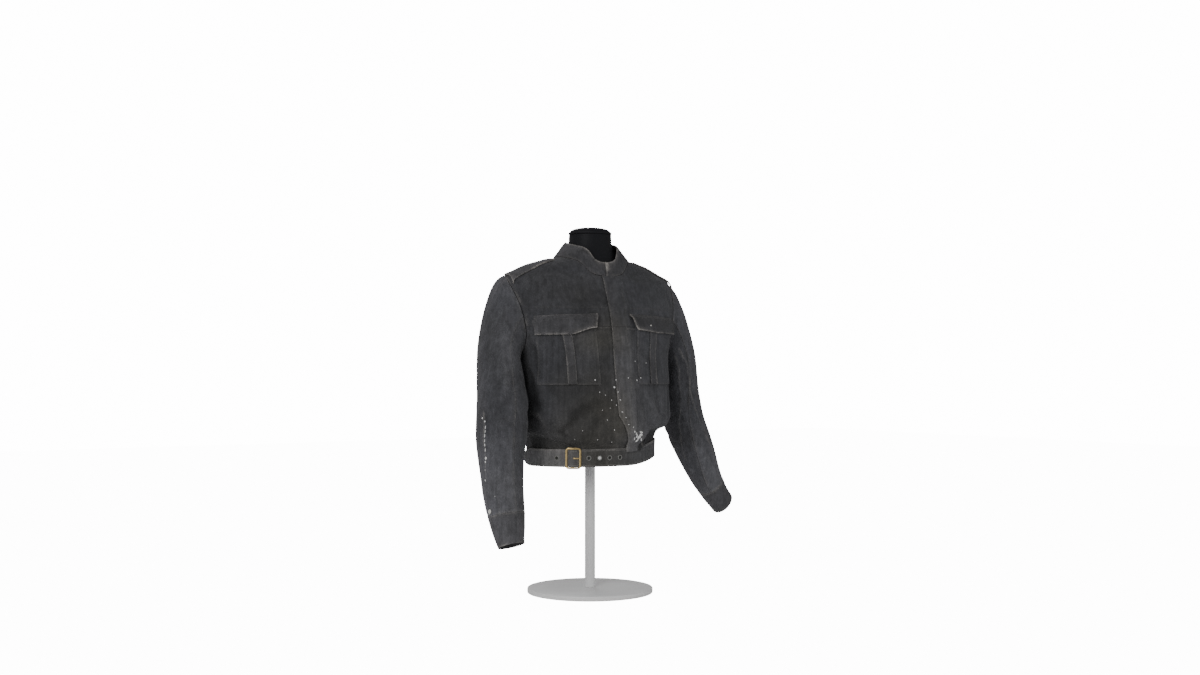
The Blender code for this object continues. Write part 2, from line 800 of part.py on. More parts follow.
def sweep_loop(bm, points, outs, half_width, half_depth):
    # A closed rail with a rectangular section through the given points.
    count = len(points)
    rings = []
    for index, point in enumerate(points):
        ahead = (points[(index + 1) % count] - points[index - 1]).normalized()
        out = outs[index]
        aside = ahead.cross(out).normalized()
        corners = ((1, 1), (1, -1), (-1, -1), (-1, 1))
        rings.append(
            [
                bm.verts.new(point + aside * (half_width * a) + out * (half_depth * b))
                for a, b in corners
            ]
        )
    for index in range(count):
        here, after = rings[index], rings[(index + 1) % count]
        for corner in range(4):
            other = (corner + 1) % 4
            bm.faces.new((here[corner], here[other], after[other], after[corner]))


def make_buckle(name, material):
    # A frame round the belt, with the bar that the band's end holds behind it.
    surface = belt_out(BUCKLE_ANGLE)
    centre, outward, along, up = band_frame(BUCKLE_ANGLE, 0.0)
    half_w = (BUCKLE_SIZE[0] - BUCKLE_WIRE) / 2.0
    half_h = (BUCKLE_SIZE[1] - BUCKLE_WIRE) / 2.0
    front = surface + BUCKLE_STAND_OFF
    points = []
    for quarter in range(4):
        sx = 1 if quarter in (0, 3) else -1
        sy = 1 if quarter in (0, 1) else -1
        for step in range(4):
            turn = math.radians(90.0 * quarter + 30.0 * step)
            px = sx * (half_w - BUCKLE_CORNER) + BUCKLE_CORNER * math.cos(turn)
            py = sy * (half_h - BUCKLE_CORNER) + BUCKLE_CORNER * math.sin(turn)
            bow = BUCKLE_BOW * (abs(px) / half_w) ** 2
            points.append(centre + outward * (front - bow) + along * px + up * py)
    bm = bmesh.new()
    sweep_loop(bm, points, [outward] * len(points), BUCKLE_WIRE / 2.0, BUCKLE_THICKNESS / 2.0)
    frame = add_object(name, bm, material)
    behind = surface - BELT_THICKNESS - BAR_BEHIND
    path = [
        (half_h, front),
        (half_h - 0.0004, behind + 0.0006),
        (half_h - 0.0020, behind),
        (-half_h + 0.0020, behind),
        (-half_h + 0.0004, behind + 0.0006),
        (-half_h, front),
    ]
    bm = bmesh.new()
    rings = []
    for index, (height, out) in enumerate(path):
        before = path[max(index - 1, 0)]
        after = path[min(index + 1, len(path) - 1)]
        ahead = (up * (after[0] - before[0]) + outward * (after[1] - before[1])).normalized()
        aside = ahead.cross(along).normalized()
        point = centre + up * height + outward * out
        rings.append(
            [
                bm.verts.new(
                    point + along * (BAR_SIZE[0] / 2.0 * a) + aside * (BAR_SIZE[1] / 2.0 * b)
                )
                for a, b in ((1, 1), (1, -1), (-1, -1), (-1, 1))
            ]
        )
    for index in range(len(rings) - 1):
        for c in range(4):
            d = (c + 1) % 4
            here, above = rings[index], rings[index + 1]
            bm.faces.new((here[c], here[d], above[d], above[c]))
    bm.faces.new(rings[0])
    bm.faces.new(rings[-1])
    bar = add_object(name + "_bar", bm, material)
    bar.hide_render = True
    bar.display_type = "WIRE"
    union = frame.modifiers.new("bar", "BOOLEAN")
    union.operation = "UNION"
    union.solver = "EXACT"
    union.object = bar
    return frame


def make_prong(name, material):
    # The tongue lies on the belt from its eyelet to the frame's right rail.
    surface = belt_out(BUCKLE_ANGLE)
    centre, outward, along, up = band_frame(BUCKLE_ANGLE, 0.0)
    reach = BUCKLE_SIZE[0] / 2.0 - BUCKLE_WIRE - 0.0004
    bm = bmesh.new()
    rings = []
    for share in (0.0, 0.5, 1.0):
        point = centre + along * (reach * share) + outward * (surface + 0.0014)
        rings.append(
            [
                bm.verts.new(
                    point + up * (PRONG_SIZE[0] / 2.0 * a) + outward * (PRONG_SIZE[1] / 2.0 * b)
                )
                for a, b in ((1, 1), (1, -1), (-1, -1), (-1, 1))
            ]
        )
    for index in range(len(rings) - 1):
        for c in range(4):
            d = (c + 1) % 4
            here, above = rings[index], rings[index + 1]
            bm.faces.new((here[c], here[d], above[d], above[c]))
    bm.faces.new(rings[0])
    bm.faces.new(rings[-1])
    return add_object(name, bm, material)


def make_eyelet(name, angle, material):
    centre, outward, along, up = band_frame(angle, belt_out(angle) + 0.0004 + EYELET_WIRE / 2)
    points = []
    for step in range(12):
        turn = 2.0 * math.pi * step / 12
        points.append(centre + along * (EYELET_RADIUS * math.cos(turn)) + up * (
            EYELET_RADIUS * math.sin(turn)
        ))
    bm = bmesh.new()
    sweep_loop(bm, points, [outward] * 12, EYELET_WIRE, EYELET_WIRE / 2.0)
    return add_object(name, bm, material)


def make_button(name, side, rows, angle, height, radius, thickness, material):
    point = sleeve_tube(rows, side, angle, height)
    outward = (point - sleeve_centre(rows, side, height)).normalized()
    bm = bmesh.new()
    bmesh.ops.create_cone(
        bm, cap_ends=True, segments=16, radius1=radius, radius2=radius * 0.8, depth=thickness
    )
    button = add_object(name, bm, material)
    button.location = point + outward * (thickness / 2.0 + 0.0008)
    button.rotation_euler = outward.to_track_quat("Z", "Y").to_euler()
    return button


def make_form_torso(name, material):
    segments = 32
    bm = bmesh.new()
    rings = []
    steps = []
    for low, high in zip(FORM_RINGS, FORM_RINGS[1:]):
        steps.append(low[0])
        if high[0] - low[0] > 0.045:
            steps.append((low[0] + high[0]) / 2.0)
    steps.append(FORM_RINGS[-1][0])
    for height in steps:
        ring = []
        for step in range(segments):
            point = ring_point(FORM_RINGS, 360.0 * step / segments, height)
            ring.append(bm.verts.new(point))
        rings.append(ring)
    for here, above in zip(rings, rings[1:]):
        for step in range(segments):
            after = (step + 1) % segments
            bm.faces.new((here[step], here[after], above[after], above[step]))
    bm.faces.new(rings[0])
    bm.faces.new(rings[-1])
    return add_object(name, bm, material)


def add_turned(name, profile, segments, material):
    # A solid of revolution about Z from a profile of radius and height.
    bm = bmesh.new()
    rings = []
    for radius, z in profile:
        if radius == 0.0:
            rings.append([bm.verts.new((0.0, 0.0, z))])
            continue
        rings.append(
            [
                bm.verts.new(
                    (
                        radius * math.cos(2.0 * math.pi * step / segments),
                        radius * math.sin(2.0 * math.pi * step / segments),
                        z,
                    )
                )
                for step in range(segments)
            ]
        )
    for here, above in zip(rings, rings[1:]):
        for step in range(segments):
            after = (step + 1) % segments
            if len(here) == 1:
                bm.faces.new((here[0], above[after], above[step]))
            elif len(above) == 1:
                bm.faces.new((here[step], here[after], above[0]))
            else:
                bm.faces.new((here[step], here[after], above[after], above[step]))
    return add_object(name, bm, material)


def make_neck_cap(name, material):
    base = HEM_Z + FORM_RINGS[-1][0] + 0.0003
    profile = [(0.0, base), (CAP_LIP_RADIUS - 0.002, base)]
    profile += [(CAP_LIP_RADIUS, base + 0.002), (CAP_LIP_RADIUS, base + CAP_LIP_HEIGHT)]
    for step in range(1, 6):
        turn = math.radians(90.0 * step / 5)
        radius = (CAP_LIP_RADIUS - 0.003) * math.cos(turn) ** 0.7 if step < 5 else 0.0
        rise = CAP_LIP_HEIGHT + CAP_DOME_HEIGHT * math.sin(turn)
        profile.append((radius, base + rise))
    return add_turned(name, profile, 32, material)


def make_pole(name, material):
    top = HEM_Z + FORM_RINGS[0][0] - 0.0003
    bottom = BASE_THICKNESS + 0.0003
    profile = [(0.0, bottom), (POLE_RADIUS, bottom), (POLE_RADIUS, top), (0.0, top)]
    return add_turned(name, profile, 24, material)


def make_base_plate(name, material):
    profile = [
        (0.0, 0.0),
        (BASE_RADIUS - 0.001, 0.0),
        (BASE_RADIUS, 0.001),
        (BASE_RADIUS, BASE_THICKNESS - 0.003),
        (BASE_RADIUS - 0.003, BASE_THICKNESS),
        (0.0, BASE_THICKNESS),
    ]
    return add_turned(name, profile, 48, material)


def make_garment():
    cloth = make_material("cloth_grey", (0.115, 0.115, 0.125), 0.95)
    trim = make_material("cloth_trim", (0.150, 0.148, 0.150), 0.95)
    band = make_material("cloth_band", (0.095, 0.095, 0.105), 0.95)
    brass = make_material("brass", (0.62, 0.46, 0.20), 0.35, 1.0)
    metal = make_material("eyelet_metal", (0.55, 0.55, 0.52), 0.45, 1.0)
    pale = make_material("button_white", (0.80, 0.80, 0.77), 0.5)
    make_back("back", cloth)
    make_collar("collar", trim)
    for side, word, rows in ((-1, "right", RIGHT_SLEEVE), (1, "left", LEFT_SLEEVE)):
        make_lower_front("front_" + word, side, cloth)
        make_yoke("yoke_" + word, side, cloth)
        gap = SLEEVE_SEAM_GAP / 2.0
        make_sleeve_panel(
            "sleeve_top_" + word, side, rows,
            SLEEVE_BACK_SEAM + gap, SLEEVE_FRONT_SEAM - gap, 12, cloth,
        )
        make_sleeve_panel(
            "sleeve_under_" + word, side, rows,
            SLEEVE_FRONT_SEAM + gap, SLEEVE_BACK_SEAM + 360.0 - gap, 11, cloth,
        )
        make_cuff("cuff_" + word, side, rows, trim)
        make_pocket("pocket_" + word, side, cloth)
        make_pleat("pleat_" + word, side, trim)
        make_flap("flap_" + word, side, trim)
        make_epaulette("epaulette_" + word, side, trim)
    make_waistband("waistband", band)
    make_belt("belt", band)
    make_buckle("belt_buckle", brass)
    make_prong("buckle_prong", brass)
    for number, angle in enumerate(EYELET_ANGLES):
        make_eyelet("eyelet_%d" % (number + 1), angle, metal)
    make_button("sleeve_button", -1, RIGHT_SLEEVE, 5.0, -0.082, 0.006, 0.003, pale)


def make_form():
    black = make_material("form_black", (0.020, 0.020, 0.026), 0.55)
    white = make_material("stand_white", (0.85, 0.85, 0.85), 0.5)
    make_form_torso("form_torso", black)
    make_neck_cap("neck_cap", black)
    make_pole("pole", white)
    make_base_plate("base_plate", white)


clear_scene()
make_garment()
make_form()
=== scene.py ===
import json
import math
import bpy
import numpy as np
from mathutils import Matrix, Vector
from mathutils.bvhtree import BVHTree

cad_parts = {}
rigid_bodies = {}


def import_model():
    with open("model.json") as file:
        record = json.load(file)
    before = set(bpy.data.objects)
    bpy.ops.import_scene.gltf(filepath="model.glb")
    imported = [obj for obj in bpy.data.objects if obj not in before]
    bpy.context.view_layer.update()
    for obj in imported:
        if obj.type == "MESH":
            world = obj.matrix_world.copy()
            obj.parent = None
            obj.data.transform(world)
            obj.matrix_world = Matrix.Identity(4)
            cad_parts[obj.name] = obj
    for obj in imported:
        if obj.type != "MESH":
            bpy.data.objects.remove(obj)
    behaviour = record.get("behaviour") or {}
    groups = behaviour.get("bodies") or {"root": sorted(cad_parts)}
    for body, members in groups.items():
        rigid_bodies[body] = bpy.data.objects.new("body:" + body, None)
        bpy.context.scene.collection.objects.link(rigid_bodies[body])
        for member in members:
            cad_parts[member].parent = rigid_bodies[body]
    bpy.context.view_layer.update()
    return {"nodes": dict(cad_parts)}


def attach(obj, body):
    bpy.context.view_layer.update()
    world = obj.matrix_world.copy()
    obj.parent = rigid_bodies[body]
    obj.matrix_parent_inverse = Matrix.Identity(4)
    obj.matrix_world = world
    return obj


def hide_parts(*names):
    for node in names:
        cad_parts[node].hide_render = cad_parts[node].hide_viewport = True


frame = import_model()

# A worn military blouson on a black limbless dress form. Metres, +Z up, front towards -Y.
# Heights are measured from the hem; angle 0 is the centre front and +90 the wearer's left.

bpy.ops.object.select_all(action="DESELECT")

bodyShape = {
    "hemZ": 0.3,
    "boxiness": 0.9,
    "seamGap": 0.0004,
    "wall": 0.0018,
    "bandHeight": 0.04,
    "bandLift": 0.0075,
    "bandRise": 0.018,
    "bandRiseLeft": (4.0, 62.0),
    "bandRiseBack": (100.0, 180.0),
    "bandRiseFade": (0.05, 0.15),
    "overhangLeft": (20.0, 65.0),
    "overhangLeftHigh": (0.02, 14.0, 24.0, 28.0, 60.0),
    "overhangRight": (38.0, 78.0),
    "overhangBack": (100.0, 180.0),
    "overhangLifts": (0.011, 0.02, 0.014),
    "overhangStart": (0.046, 0.055),
    "overhangFade": (0.066, 0.156),
    "yokeSeam": 0.331,
    "neckHalfWidth": 0.0905,
    "neckFront": 0.0785,
    "neckBack": 0.0628,
    "neckBoxiness": 2.5,
    "armpit": 0.262,
    "shoulder": 0.45,
    "armholeSweep": 25.0,
    "armholeEase": 0.6,
    "underlapX": 0.026,
    "lapLift": 0.0031,
    "tabLift": 0.0062,
    "tabBottom": 0.032,
    "tabFade": (0.046, 0.08),
    "tabColumns": (0.03, 0.045, 0.058, 0.071, 0.086),
    "metresPerDegree": 0.00288,
    # height, half width, front depth, back depth, and where the sides lie in Y
    "rings": [
        (0.0, 0.158, 0.124, 0.118, 0.0), (0.04, 0.159, 0.1255, 0.119, 0.0),
        (0.046, 0.16, 0.1265, 0.12, 0.0), (0.051, 0.165, 0.13, 0.124, 0.0),
        (0.056, 0.185, 0.135, 0.132, 0.0), (0.064, 0.197, 0.14, 0.139, 0.0),
        (0.078, 0.203, 0.144, 0.143, 0.0), (0.1, 0.206, 0.146, 0.144, 0.0),
        (0.15, 0.205, 0.143, 0.141, 0.0), (0.21, 0.204, 0.134, 0.135, 0.002),
        (0.262, 0.206, 0.127, 0.129, 0.004), (0.3, 0.214, 0.1235, 0.124, 0.006),
        (0.34, 0.226, 0.117, 0.117, 0.01), (0.38, 0.235, 0.107, 0.108, 0.014),
        (0.41, 0.238, 0.096, 0.099, 0.018), (0.43, 0.237, 0.088, 0.091, 0.02),
        (0.445, 0.23, 0.081, 0.084, 0.02), (0.4585, 0.201, 0.074, 0.078, 0.019),
        (0.474, 0.165, 0.07, 0.072, 0.016), (0.488, 0.117, 0.067, 0.067, 0.011),
        (0.497, 0.092, 0.064, 0.064, 0.006), (0.505, 0.083, 0.062, 0.062, 0.002),
        (0.52, 0.078, 0.06, 0.06, 0.0),
    ],
    # the left front's edge: height, and its distance from the centre front in X
    "frontEdge": [
        (0.0, 0.018), (0.05, 0.016), (0.09, 0.004), (0.13, -0.016), (0.2, -0.018), (0.463, -0.018),
    ],
}
hemZ = bodyShape["hemZ"]
armMiddle = (bodyShape["armpit"] + bodyShape["shoulder"]) / 2.0
armReach = (bodyShape["shoulder"] - bodyShape["armpit"]) / 2.0


def ease(value):
    value = np.clip(value, 0.0, 1.0)
    return value * value * (3.0 - 2.0 * value)


def ramp(value, ends):
    return ease((value - ends[0]) / (ends[1] - ends[0]))


def between(ends, share):
    return ends[0] + (ends[1] - ends[0]) * share


def bell(value, middle, width):
    return np.exp(-(((value - middle) / width) ** 2))


def halfTurn(angle):
    # the same direction as an angle from -180 to 180
    return (np.asarray(angle, float) + 180.0) % 360.0 - 180.0


def together(*values):
    return np.broadcast_arrays(*(np.asarray(value, float) for value in values))


def stacked(*values):
    return np.stack(np.broadcast_arrays(*values), axis=-1)


def gridOf(across, up):
    # two arrays of one shape: across runs along each row, and up from row to row
    return np.broadcast_arrays(np.asarray(across)[None, :], np.asarray(up)[:, None])


def curve(u, start, leave, end, arrive):
    # a smooth run from start to end, which leaves and arrives in the given directions
    return (
        start * (2 * u**3 - 3 * u**2 + 1) + leave * (u**3 - 2 * u**2 + u)
        + end * (3 * u**2 - 2 * u**3) + arrive * (u**3 - u**2)
    )


def tableValue(rows, column, at):
    # a smooth curve through one column of a table, with no overshoot
    keys = np.array([row[0] for row in rows], float)
    values = np.array([row[column] for row in rows], float)
    at = np.asarray(at, float)
    if keys[0] > keys[-1]:
        keys, at = -keys, -at
    at = np.clip(at, keys[0], keys[-1])
    steps = np.diff(values) / np.diff(keys)
    slopes = np.empty_like(values)
    slopes[0], slopes[-1] = steps[0], steps[-1]
    product = steps[:-1] * steps[1:]
    total = np.where(product > 0.0, steps[:-1] + steps[1:], 1.0)
    slopes[1:-1] = np.where(product > 0.0, 2.0 * product / total, 0.0)
    low = np.clip(np.searchsorted(keys, at, side="left") - 1, 0, len(keys) - 2)
    span = keys[low + 1] - keys[low]
    u = (at - keys[low]) / span
    return curve(u, values[low], span * slopes[low], values[low + 1], span * slopes[low + 1])


def tableValues(rows, at):
    return [tableValue(rows, column, at) for column in (1, 2, 3, 4)]


def signedPower(value, power):
    return np.copysign(np.abs(value) ** power, value)


def unit(vectors):
    return vectors / np.maximum(np.linalg.norm(vectors, axis=-1, keepdims=True), 1e-12)


def halved(low, high, steps, isTooHigh):
    # the value at which the test turns true, found by halving
    for _ in range(steps):
        middle = (low + high) / 2.0
        above = isTooHigh(middle)
        low, high = np.where(above, low, middle), np.where(above, middle, high)
    return low


def softNoise(points, size, seed):
    # smooth random values, about -1 to 1, that change over the given size
    lattice = np.random.default_rng(seed).uniform(-1.0, 1.0, (24, 24, 24))
    scaled = np.asarray(points) / size + 500.0
    base = np.floor(scaled).astype(int)
    part = scaled - base
    part = part * part * (3.0 - 2.0 * part)
    total = 0.0
    for corner in range(8):
        bits = [(corner >> axis) & 1 for axis in range(3)]
        weight = 1.0
        for axis, bit in enumerate(bits):
            weight = weight * (part[..., axis] if bit else 1.0 - part[..., axis])
        cell = [(base[..., axis] + bits[axis]) % 24 for axis in range(3)]
        total = total + weight * lattice[cell[0], cell[1], cell[2]]
    return total


# the blouse's own surface

def bandRise(turned):
    # the waistband sits a little higher at the wearer's left and behind
    left = ramp(turned, bodyShape["bandRiseLeft"])
    behind = ramp(-turned, bodyShape["bandRiseBack"])
    return bodyShape["bandLift"] + bodyShape["bandRise"] * np.where(turned >= 0.0, left, behind)


def overhangLift(turned, height):
    # the blouse's fold over the band hangs lowest in front, and jumps up beside the tab
    left, right, behind = bodyShape["overhangLifts"]
    atRight = right * ramp(-turned, bodyShape["overhangRight"])
    atRight = atRight - behind * ramp(-turned, bodyShape["overhangBack"])
    high = bodyShape["overhangLeftHigh"]
    atLeft = left * ramp(turned, bodyShape["overhangLeft"])
    atLeft = atLeft + high[0] * ramp(turned, high[1:3]) * (1.0 - ramp(turned, high[3:]))
    lift = np.where(turned >= 0.0, atLeft, atRight)
    return lift * ramp(height, bodyShape["overhangStart"]) * (1.0 - ramp(height, bodyShape["overhangFade"]))


def ringPoint(rows, angle, height):
    halfWidth, front, back, sideY = tableValues(rows, height)
    radians = np.radians(angle)
    across = signedPower(np.sin(radians), bodyShape["boxiness"])
    ahead = signedPower(np.cos(radians), bodyShape["boxiness"])
    depth = np.where(ahead > 0.0, front + sideY, back - sideY)
    return stacked(halfWidth * across, sideY - depth * ahead, hemZ + height)


def bodyX(angle, height):
    return ringPoint(bodyShape["rings"], angle, height)[..., 0]


def bodySurface(angle, height):
    points = ringPoint(bodyShape["rings"], angle, height)
    turned = halfTurn(angle)
    points[..., 2] += bandRise(turned) * (1.0 - ramp(height, bodyShape["bandRiseFade"]))
    points[..., 2] += overhangLift(turned, height)
    return points


def bodyNormal(angle, height):
    along = bodySurface(angle + 0.4, height) - bodySurface(angle - 0.4, height)
    up = bodySurface(angle, height + 0.001) - bodySurface(angle, height - 0.001)
    return unit(np.cross(along, up))


def bodyPoint(angle, height, out=0.0):
    angle, height, out = together(angle, height, out)
    return bodySurface(angle, height) + bodyNormal(angle, height) * out[..., None]


def angleAt(x, height):
    halfWidth = tableValue(bodyShape["rings"], 1, height)
    return np.degrees(np.arcsin(signedPower(x / halfWidth, 1.0 / bodyShape["boxiness"])))


def neckline(angle):
    # the height at which the surface passes the neckline's oval plan
    angle = np.asarray(angle, float)

    def isInside(height):
        x, y, _ = np.moveaxis(ringPoint(bodyShape["rings"], angle, height), -1, 0)
        depth = np.where(y < 0.0, bodyShape["neckFront"], bodyShape["neckBack"])
        power = bodyShape["neckBoxiness"]
        return np.abs(x / bodyShape["neckHalfWidth"]) ** power + np.abs(y / depth) ** power <= 1.0

    return halved(np.full(angle.shape, 0.44), np.full(angle.shape, 0.5195), 26, isInside)


def armholeAngle(height):
    inside = np.maximum(1.0 - ((height - armMiddle) / armReach) ** 2, 0.0)
    return bodyShape["armholeSweep"] * np.sqrt(inside)


def sideEdge(side, height):
    # the side seam, the armhole's edge or the shoulder seam, whichever is here
    depth = tableValue(bodyShape["rings"], 2, height)
    seam = np.degrees(bodyShape["seamGap"] / 2.0 / depth)
    return side * (90.0 - np.maximum(armholeAngle(height), seam))


def frontLift(side, x, height):
    # the left front laps over the right one, and its tab hangs over the belt
    if side < 0:
        return np.zeros(np.broadcast(x, height).shape)
    columns = bodyShape["tabColumns"]
    lap = 1.0 - ramp(x, columns[:2])
    tab = (1.0 - ramp(x, columns[3:])) * (1.0 - ramp(height, bodyShape["tabFade"]))
    return np.maximum(bodyShape["lapLift"] * lap, bodyShape["tabLift"] * tab)


def topSurface(x, y):
    # the place on top of the shoulders at this plan position
    power = 2.0 / bodyShape["boxiness"]

    def isOutside(height):
        halfWidth, front, behind, sideY = tableValues(bodyShape["rings"], height)
        depth = np.where(y < sideY, front + sideY, behind - sideY)
        return (np.abs(x) / halfWidth) ** power + (np.abs(y - sideY) / depth) ** power > 1.0

    return stacked(x, y, hemZ + halved(np.full(np.shape(x), 0.38), np.full(np.shape(x), 0.52), 32, isOutside))


# creases

def runAlong(dx, dy, line):
    # how far along the line each place lies, as a length and a share, and how far past and off it
    length = max(math.hypot(line[2] - line[0], line[3] - line[1]), 1e-6)
    ux, uy = (line[2] - line[0]) / length, (line[3] - line[1]) / length
    run = dx * ux + dy * uy
    return run, np.clip(run / length, 0.0, 1.0), run - np.clip(run, 0.0, length), dx * uy - dy * ux


def creases(across, along, table, wrap):
    # Each row: start, end, half width, depth and bow, all in metres. A depth below zero digs
    # in, with a low ridge on either side; the ends fade and the line wanders a little.
    total = np.zeros(np.broadcast(across, along).shape)
    for index, (*line, halfWidth, depth, bow) in enumerate(table):
        dx = (across - line[0] + wrap / 2.0) % wrap - wrap / 2.0
        _, share, beyond, off = runAlong(dx, along - line[1], line)
        wander = 0.0022 * np.sin(share * 7.0 + index * 1.7) + 0.0012 * np.sin(share * 17.0 + index)
        off = off - bow * 4.0 * share * (1.0 - share) - wander
        thick = halfWidth * (0.72 + 0.28 * np.sin(share * 5.0 + index * 2.3))
        distance = np.sqrt(off**2 + (0.8 * beyond) ** 2) / thick
        fade = ease((share + 0.12) / 0.34) * ease((1.12 - share) / 0.34)
        total += depth * (bell(distance, 0.0, 1.0) - 0.30 * bell(distance, 2.0, 0.9)) * (0.35 + 0.65 * fade)
    return total


# Creases on the blouse: angle, height, angle, height, half width, depth and bow.
bodyCreases = [
    # viewer's left of the fly: a broad swag, and the bulge that hangs over the belt beside it
    (-20, 0.152, -44, 0.08, 0.0125, -0.0046, 0.006), (-66, 0.135, -55, 0.076, 0.014, 0.0036, 0.002),
    (-71, 0.225, -64, 0.135, 0.011, -0.0046, 0.001), (-48, 0.094, -39, 0.064, 0.009, -0.0026, 0.001),
    (-14, 0.12, -23, 0.064, 0.012, -0.0018, 0.001), (-66, 0.3, -60, 0.215, 0.012, -0.0022, 0.002),
    (-20, 0.345, -16, 0.43, 0.013, -0.0011, 0.002), (-45, 0.368, -35, 0.432, 0.013, -0.0014, 0.002),
    (-60, 0.35, -52, 0.415, 0.012, -0.0016, -0.002),
    # viewer's right of the fly
    (27, 0.178, 37, 0.088, 0.013, -0.0022, 0.003), (55, 0.19, 50, 0.084, 0.013, -0.003, 0.002),
    (71, 0.235, 66, 0.105, 0.012, -0.0034, 0.002), (14, 0.16, 20, 0.095, 0.011, -0.0014, 0.002),
    (28, 0.372, 34, 0.432, 0.013, -0.0011, 0.002), (58, 0.35, 49, 0.415, 0.012, -0.0015, 0.002),
    # sides and back, much like those in front
    (97, 0.24, 88, 0.105, 0.0125, -0.0034, 0.003), (-97, 0.24, -86, 0.105, 0.0125, -0.0034, 0.003),
    (112, 0.264, 139, 0.19, 0.014, -0.0036, 0.006), (-112, 0.264, -141, 0.184, 0.014, -0.0036, 0.006),
    (118, 0.352, 150, 0.3, 0.013, -0.0024, 0.004), (-118, 0.352, -148, 0.306, 0.013, -0.0024, 0.004),
    (129, 0.165, 134, 0.082, 0.0115, -0.0034, 0.002), (150, 0.18, 147, 0.078, 0.0125, -0.003, 0.001),
    (-130, 0.17, -135, 0.08, 0.0115, -0.0034, 0.002), (-154, 0.165, -151, 0.076, 0.012, -0.003, 0.001),
    (171, 0.2, 168, 0.088, 0.0125, -0.0026, 0.002), (-172, 0.155, -174, 0.074, 0.011, -0.0026, 0.001),
    (160, 0.262, 200, 0.258, 0.015, -0.0018, 0.004), (152, 0.405, 180, 0.386, 0.013, -0.0016, 0.003),
    (208, 0.405, 184, 0.389, 0.013, -0.0015, 0.003),
]


def bodyFold(angle, height):
    # how far the cloth stands out from, or lies in of, its smooth form
    turned = halfTurn(angle)
    perDegree = bodyShape["metresPerDegree"]
    table = [(a * perDegree, h, b * perDegree, k, w, d, bow) for a, h, b, k, w, d, bow in bodyCreases]
    fold = creases(turned * perDegree, height, table, wrap=360.0 * perDegree)
    radians = np.radians(turned)
    ring = stacked(0.165 * np.sin(radians), 0.165 * np.cos(radians), height * 0.6)
    gather = softNoise(ring * (1.0, 1.0, 0.12), 0.016, 3) + 0.4 * softNoise(ring * (1.0, 1.0, 0.1), 0.008, 4)
    behind = 0.45 + 0.55 * ease((np.abs(turned) - 55.0) / 50.0)
    gather = gather * 0.0016 * behind * np.exp(-np.maximum(height - 0.05, 0.0) / 0.026)
    drift = 0.0017 * softNoise(ring, 0.06, 5) + 0.0005 * softNoise(ring, 0.026, 6)
    # the band holds the cloth below, and it lies on the form along the shoulders
    fold = (fold + gather + drift) * ease((height - 0.0405) / 0.014)
    top = ease((height - 0.405) / 0.045)
    return fold * (1.0 - top) + (np.maximum(fold, 0.0) * 0.35 + 0.0002) * top


# making cloth pieces

def arcAlong(points, axis):
    steps = np.linalg.norm(np.diff(points, axis=axis), axis=-1)
    start = np.zeros_like(np.take(steps, [0], axis=axis))
    return np.concatenate([start, np.cumsum(steps, axis=axis)], axis=axis)


def evenSteps(place, first, last, count, samples):
    # values from first to last whose places lie at equal lengths along a finely sampled path
    path = place(np.linspace(first, last, samples))
    length = arcAlong(path, 0)
    shares = np.interp(np.linspace(0.0, length[-1], count), length, np.linspace(0.0, 1.0, samples))
    return first + shares * (last - first)


def selectOnly(piece=None):
    bpy.ops.object.select_all(action="DESELECT")
    if piece:
        piece.select_set(True)
        bpy.context.view_layer.objects.active = piece


def inEditMode(piece, *steps):
    selectOnly(piece)
    bpy.ops.object.mode_set(mode="EDIT")
    bpy.ops.mesh.select_all(action="SELECT")
    for step, options in steps:
        step(**options)
    bpy.ops.object.mode_set(mode="OBJECT")


def addModifier(piece, kind, **settings):
    # a modifier, applied at once
    modifier = piece.modifiers.new(kind.lower(), kind)
    for key, value in settings.items():
        setattr(modifier, key, value)
    selectOnly(piece)
    bpy.ops.object.modifier_apply(modifier=modifier.name)


def finishPiece(piece, finish, node=None, smooth=None):
    # smooth shading up to an angle, one finish, and the solid that the piece stands for
    if smooth:
        selectOnly(piece)
        bpy.ops.object.shade_smooth_by_angle(angle=math.radians(smooth))
    piece.data.materials.clear()
    piece.data.materials.append(finishes[finish])
    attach(piece, "root")
    if node:
        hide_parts(node)
    return piece


def addGrid(name, points):
    # a grid primitive whose vertices take the given rows and columns of places
    rows, columns = points.shape[:2]
    selectOnly()
    bpy.ops.mesh.primitive_grid_add(x_subdivisions=columns - 1, y_subdivisions=rows - 1, size=1.0)
    piece = bpy.context.object
    piece.name = piece.data.name = name
    mesh = piece.data
    flat = np.empty(len(mesh.vertices) * 3)
    mesh.vertices.foreach_get("co", flat)
    flat = flat.reshape(-1, 3)
    column = np.rint((flat[:, 0] + 0.5) * (columns - 1)).astype(int)
    row = np.rint((flat[:, 1] + 0.5) * (rows - 1)).astype(int)
    mesh.vertices.foreach_set("co", points[row, column].ravel())
    return piece, row, column


def lineWear(across, along, table):
    # pale rubbed lines: rows of start, end, half width and strength, in metres
    total = np.zeros(np.broadcast(across, along).shape)
    for *line, halfWidth, strength in table:
        run, _, beyond, off = runAlong(across - line[0], along - line[1], line)
        off = off + 0.0012 * np.sin(run * 90.0 + line[0] * 300.0)
        total = np.maximum(total, strength * np.exp(-(off**2 + beyond**2) / halfWidth**2))
    return total


def toneAt(piece, points):
    # how pale each stretch is, by height: partly faded cloth, partly painted light and shade
    rows = tones.get(piece.removeprefix("cloth_"), tones["other"])
    return np.interp(points[..., 2] - hemZ, [row[0] for row in rows], [row[1] for row in rows])


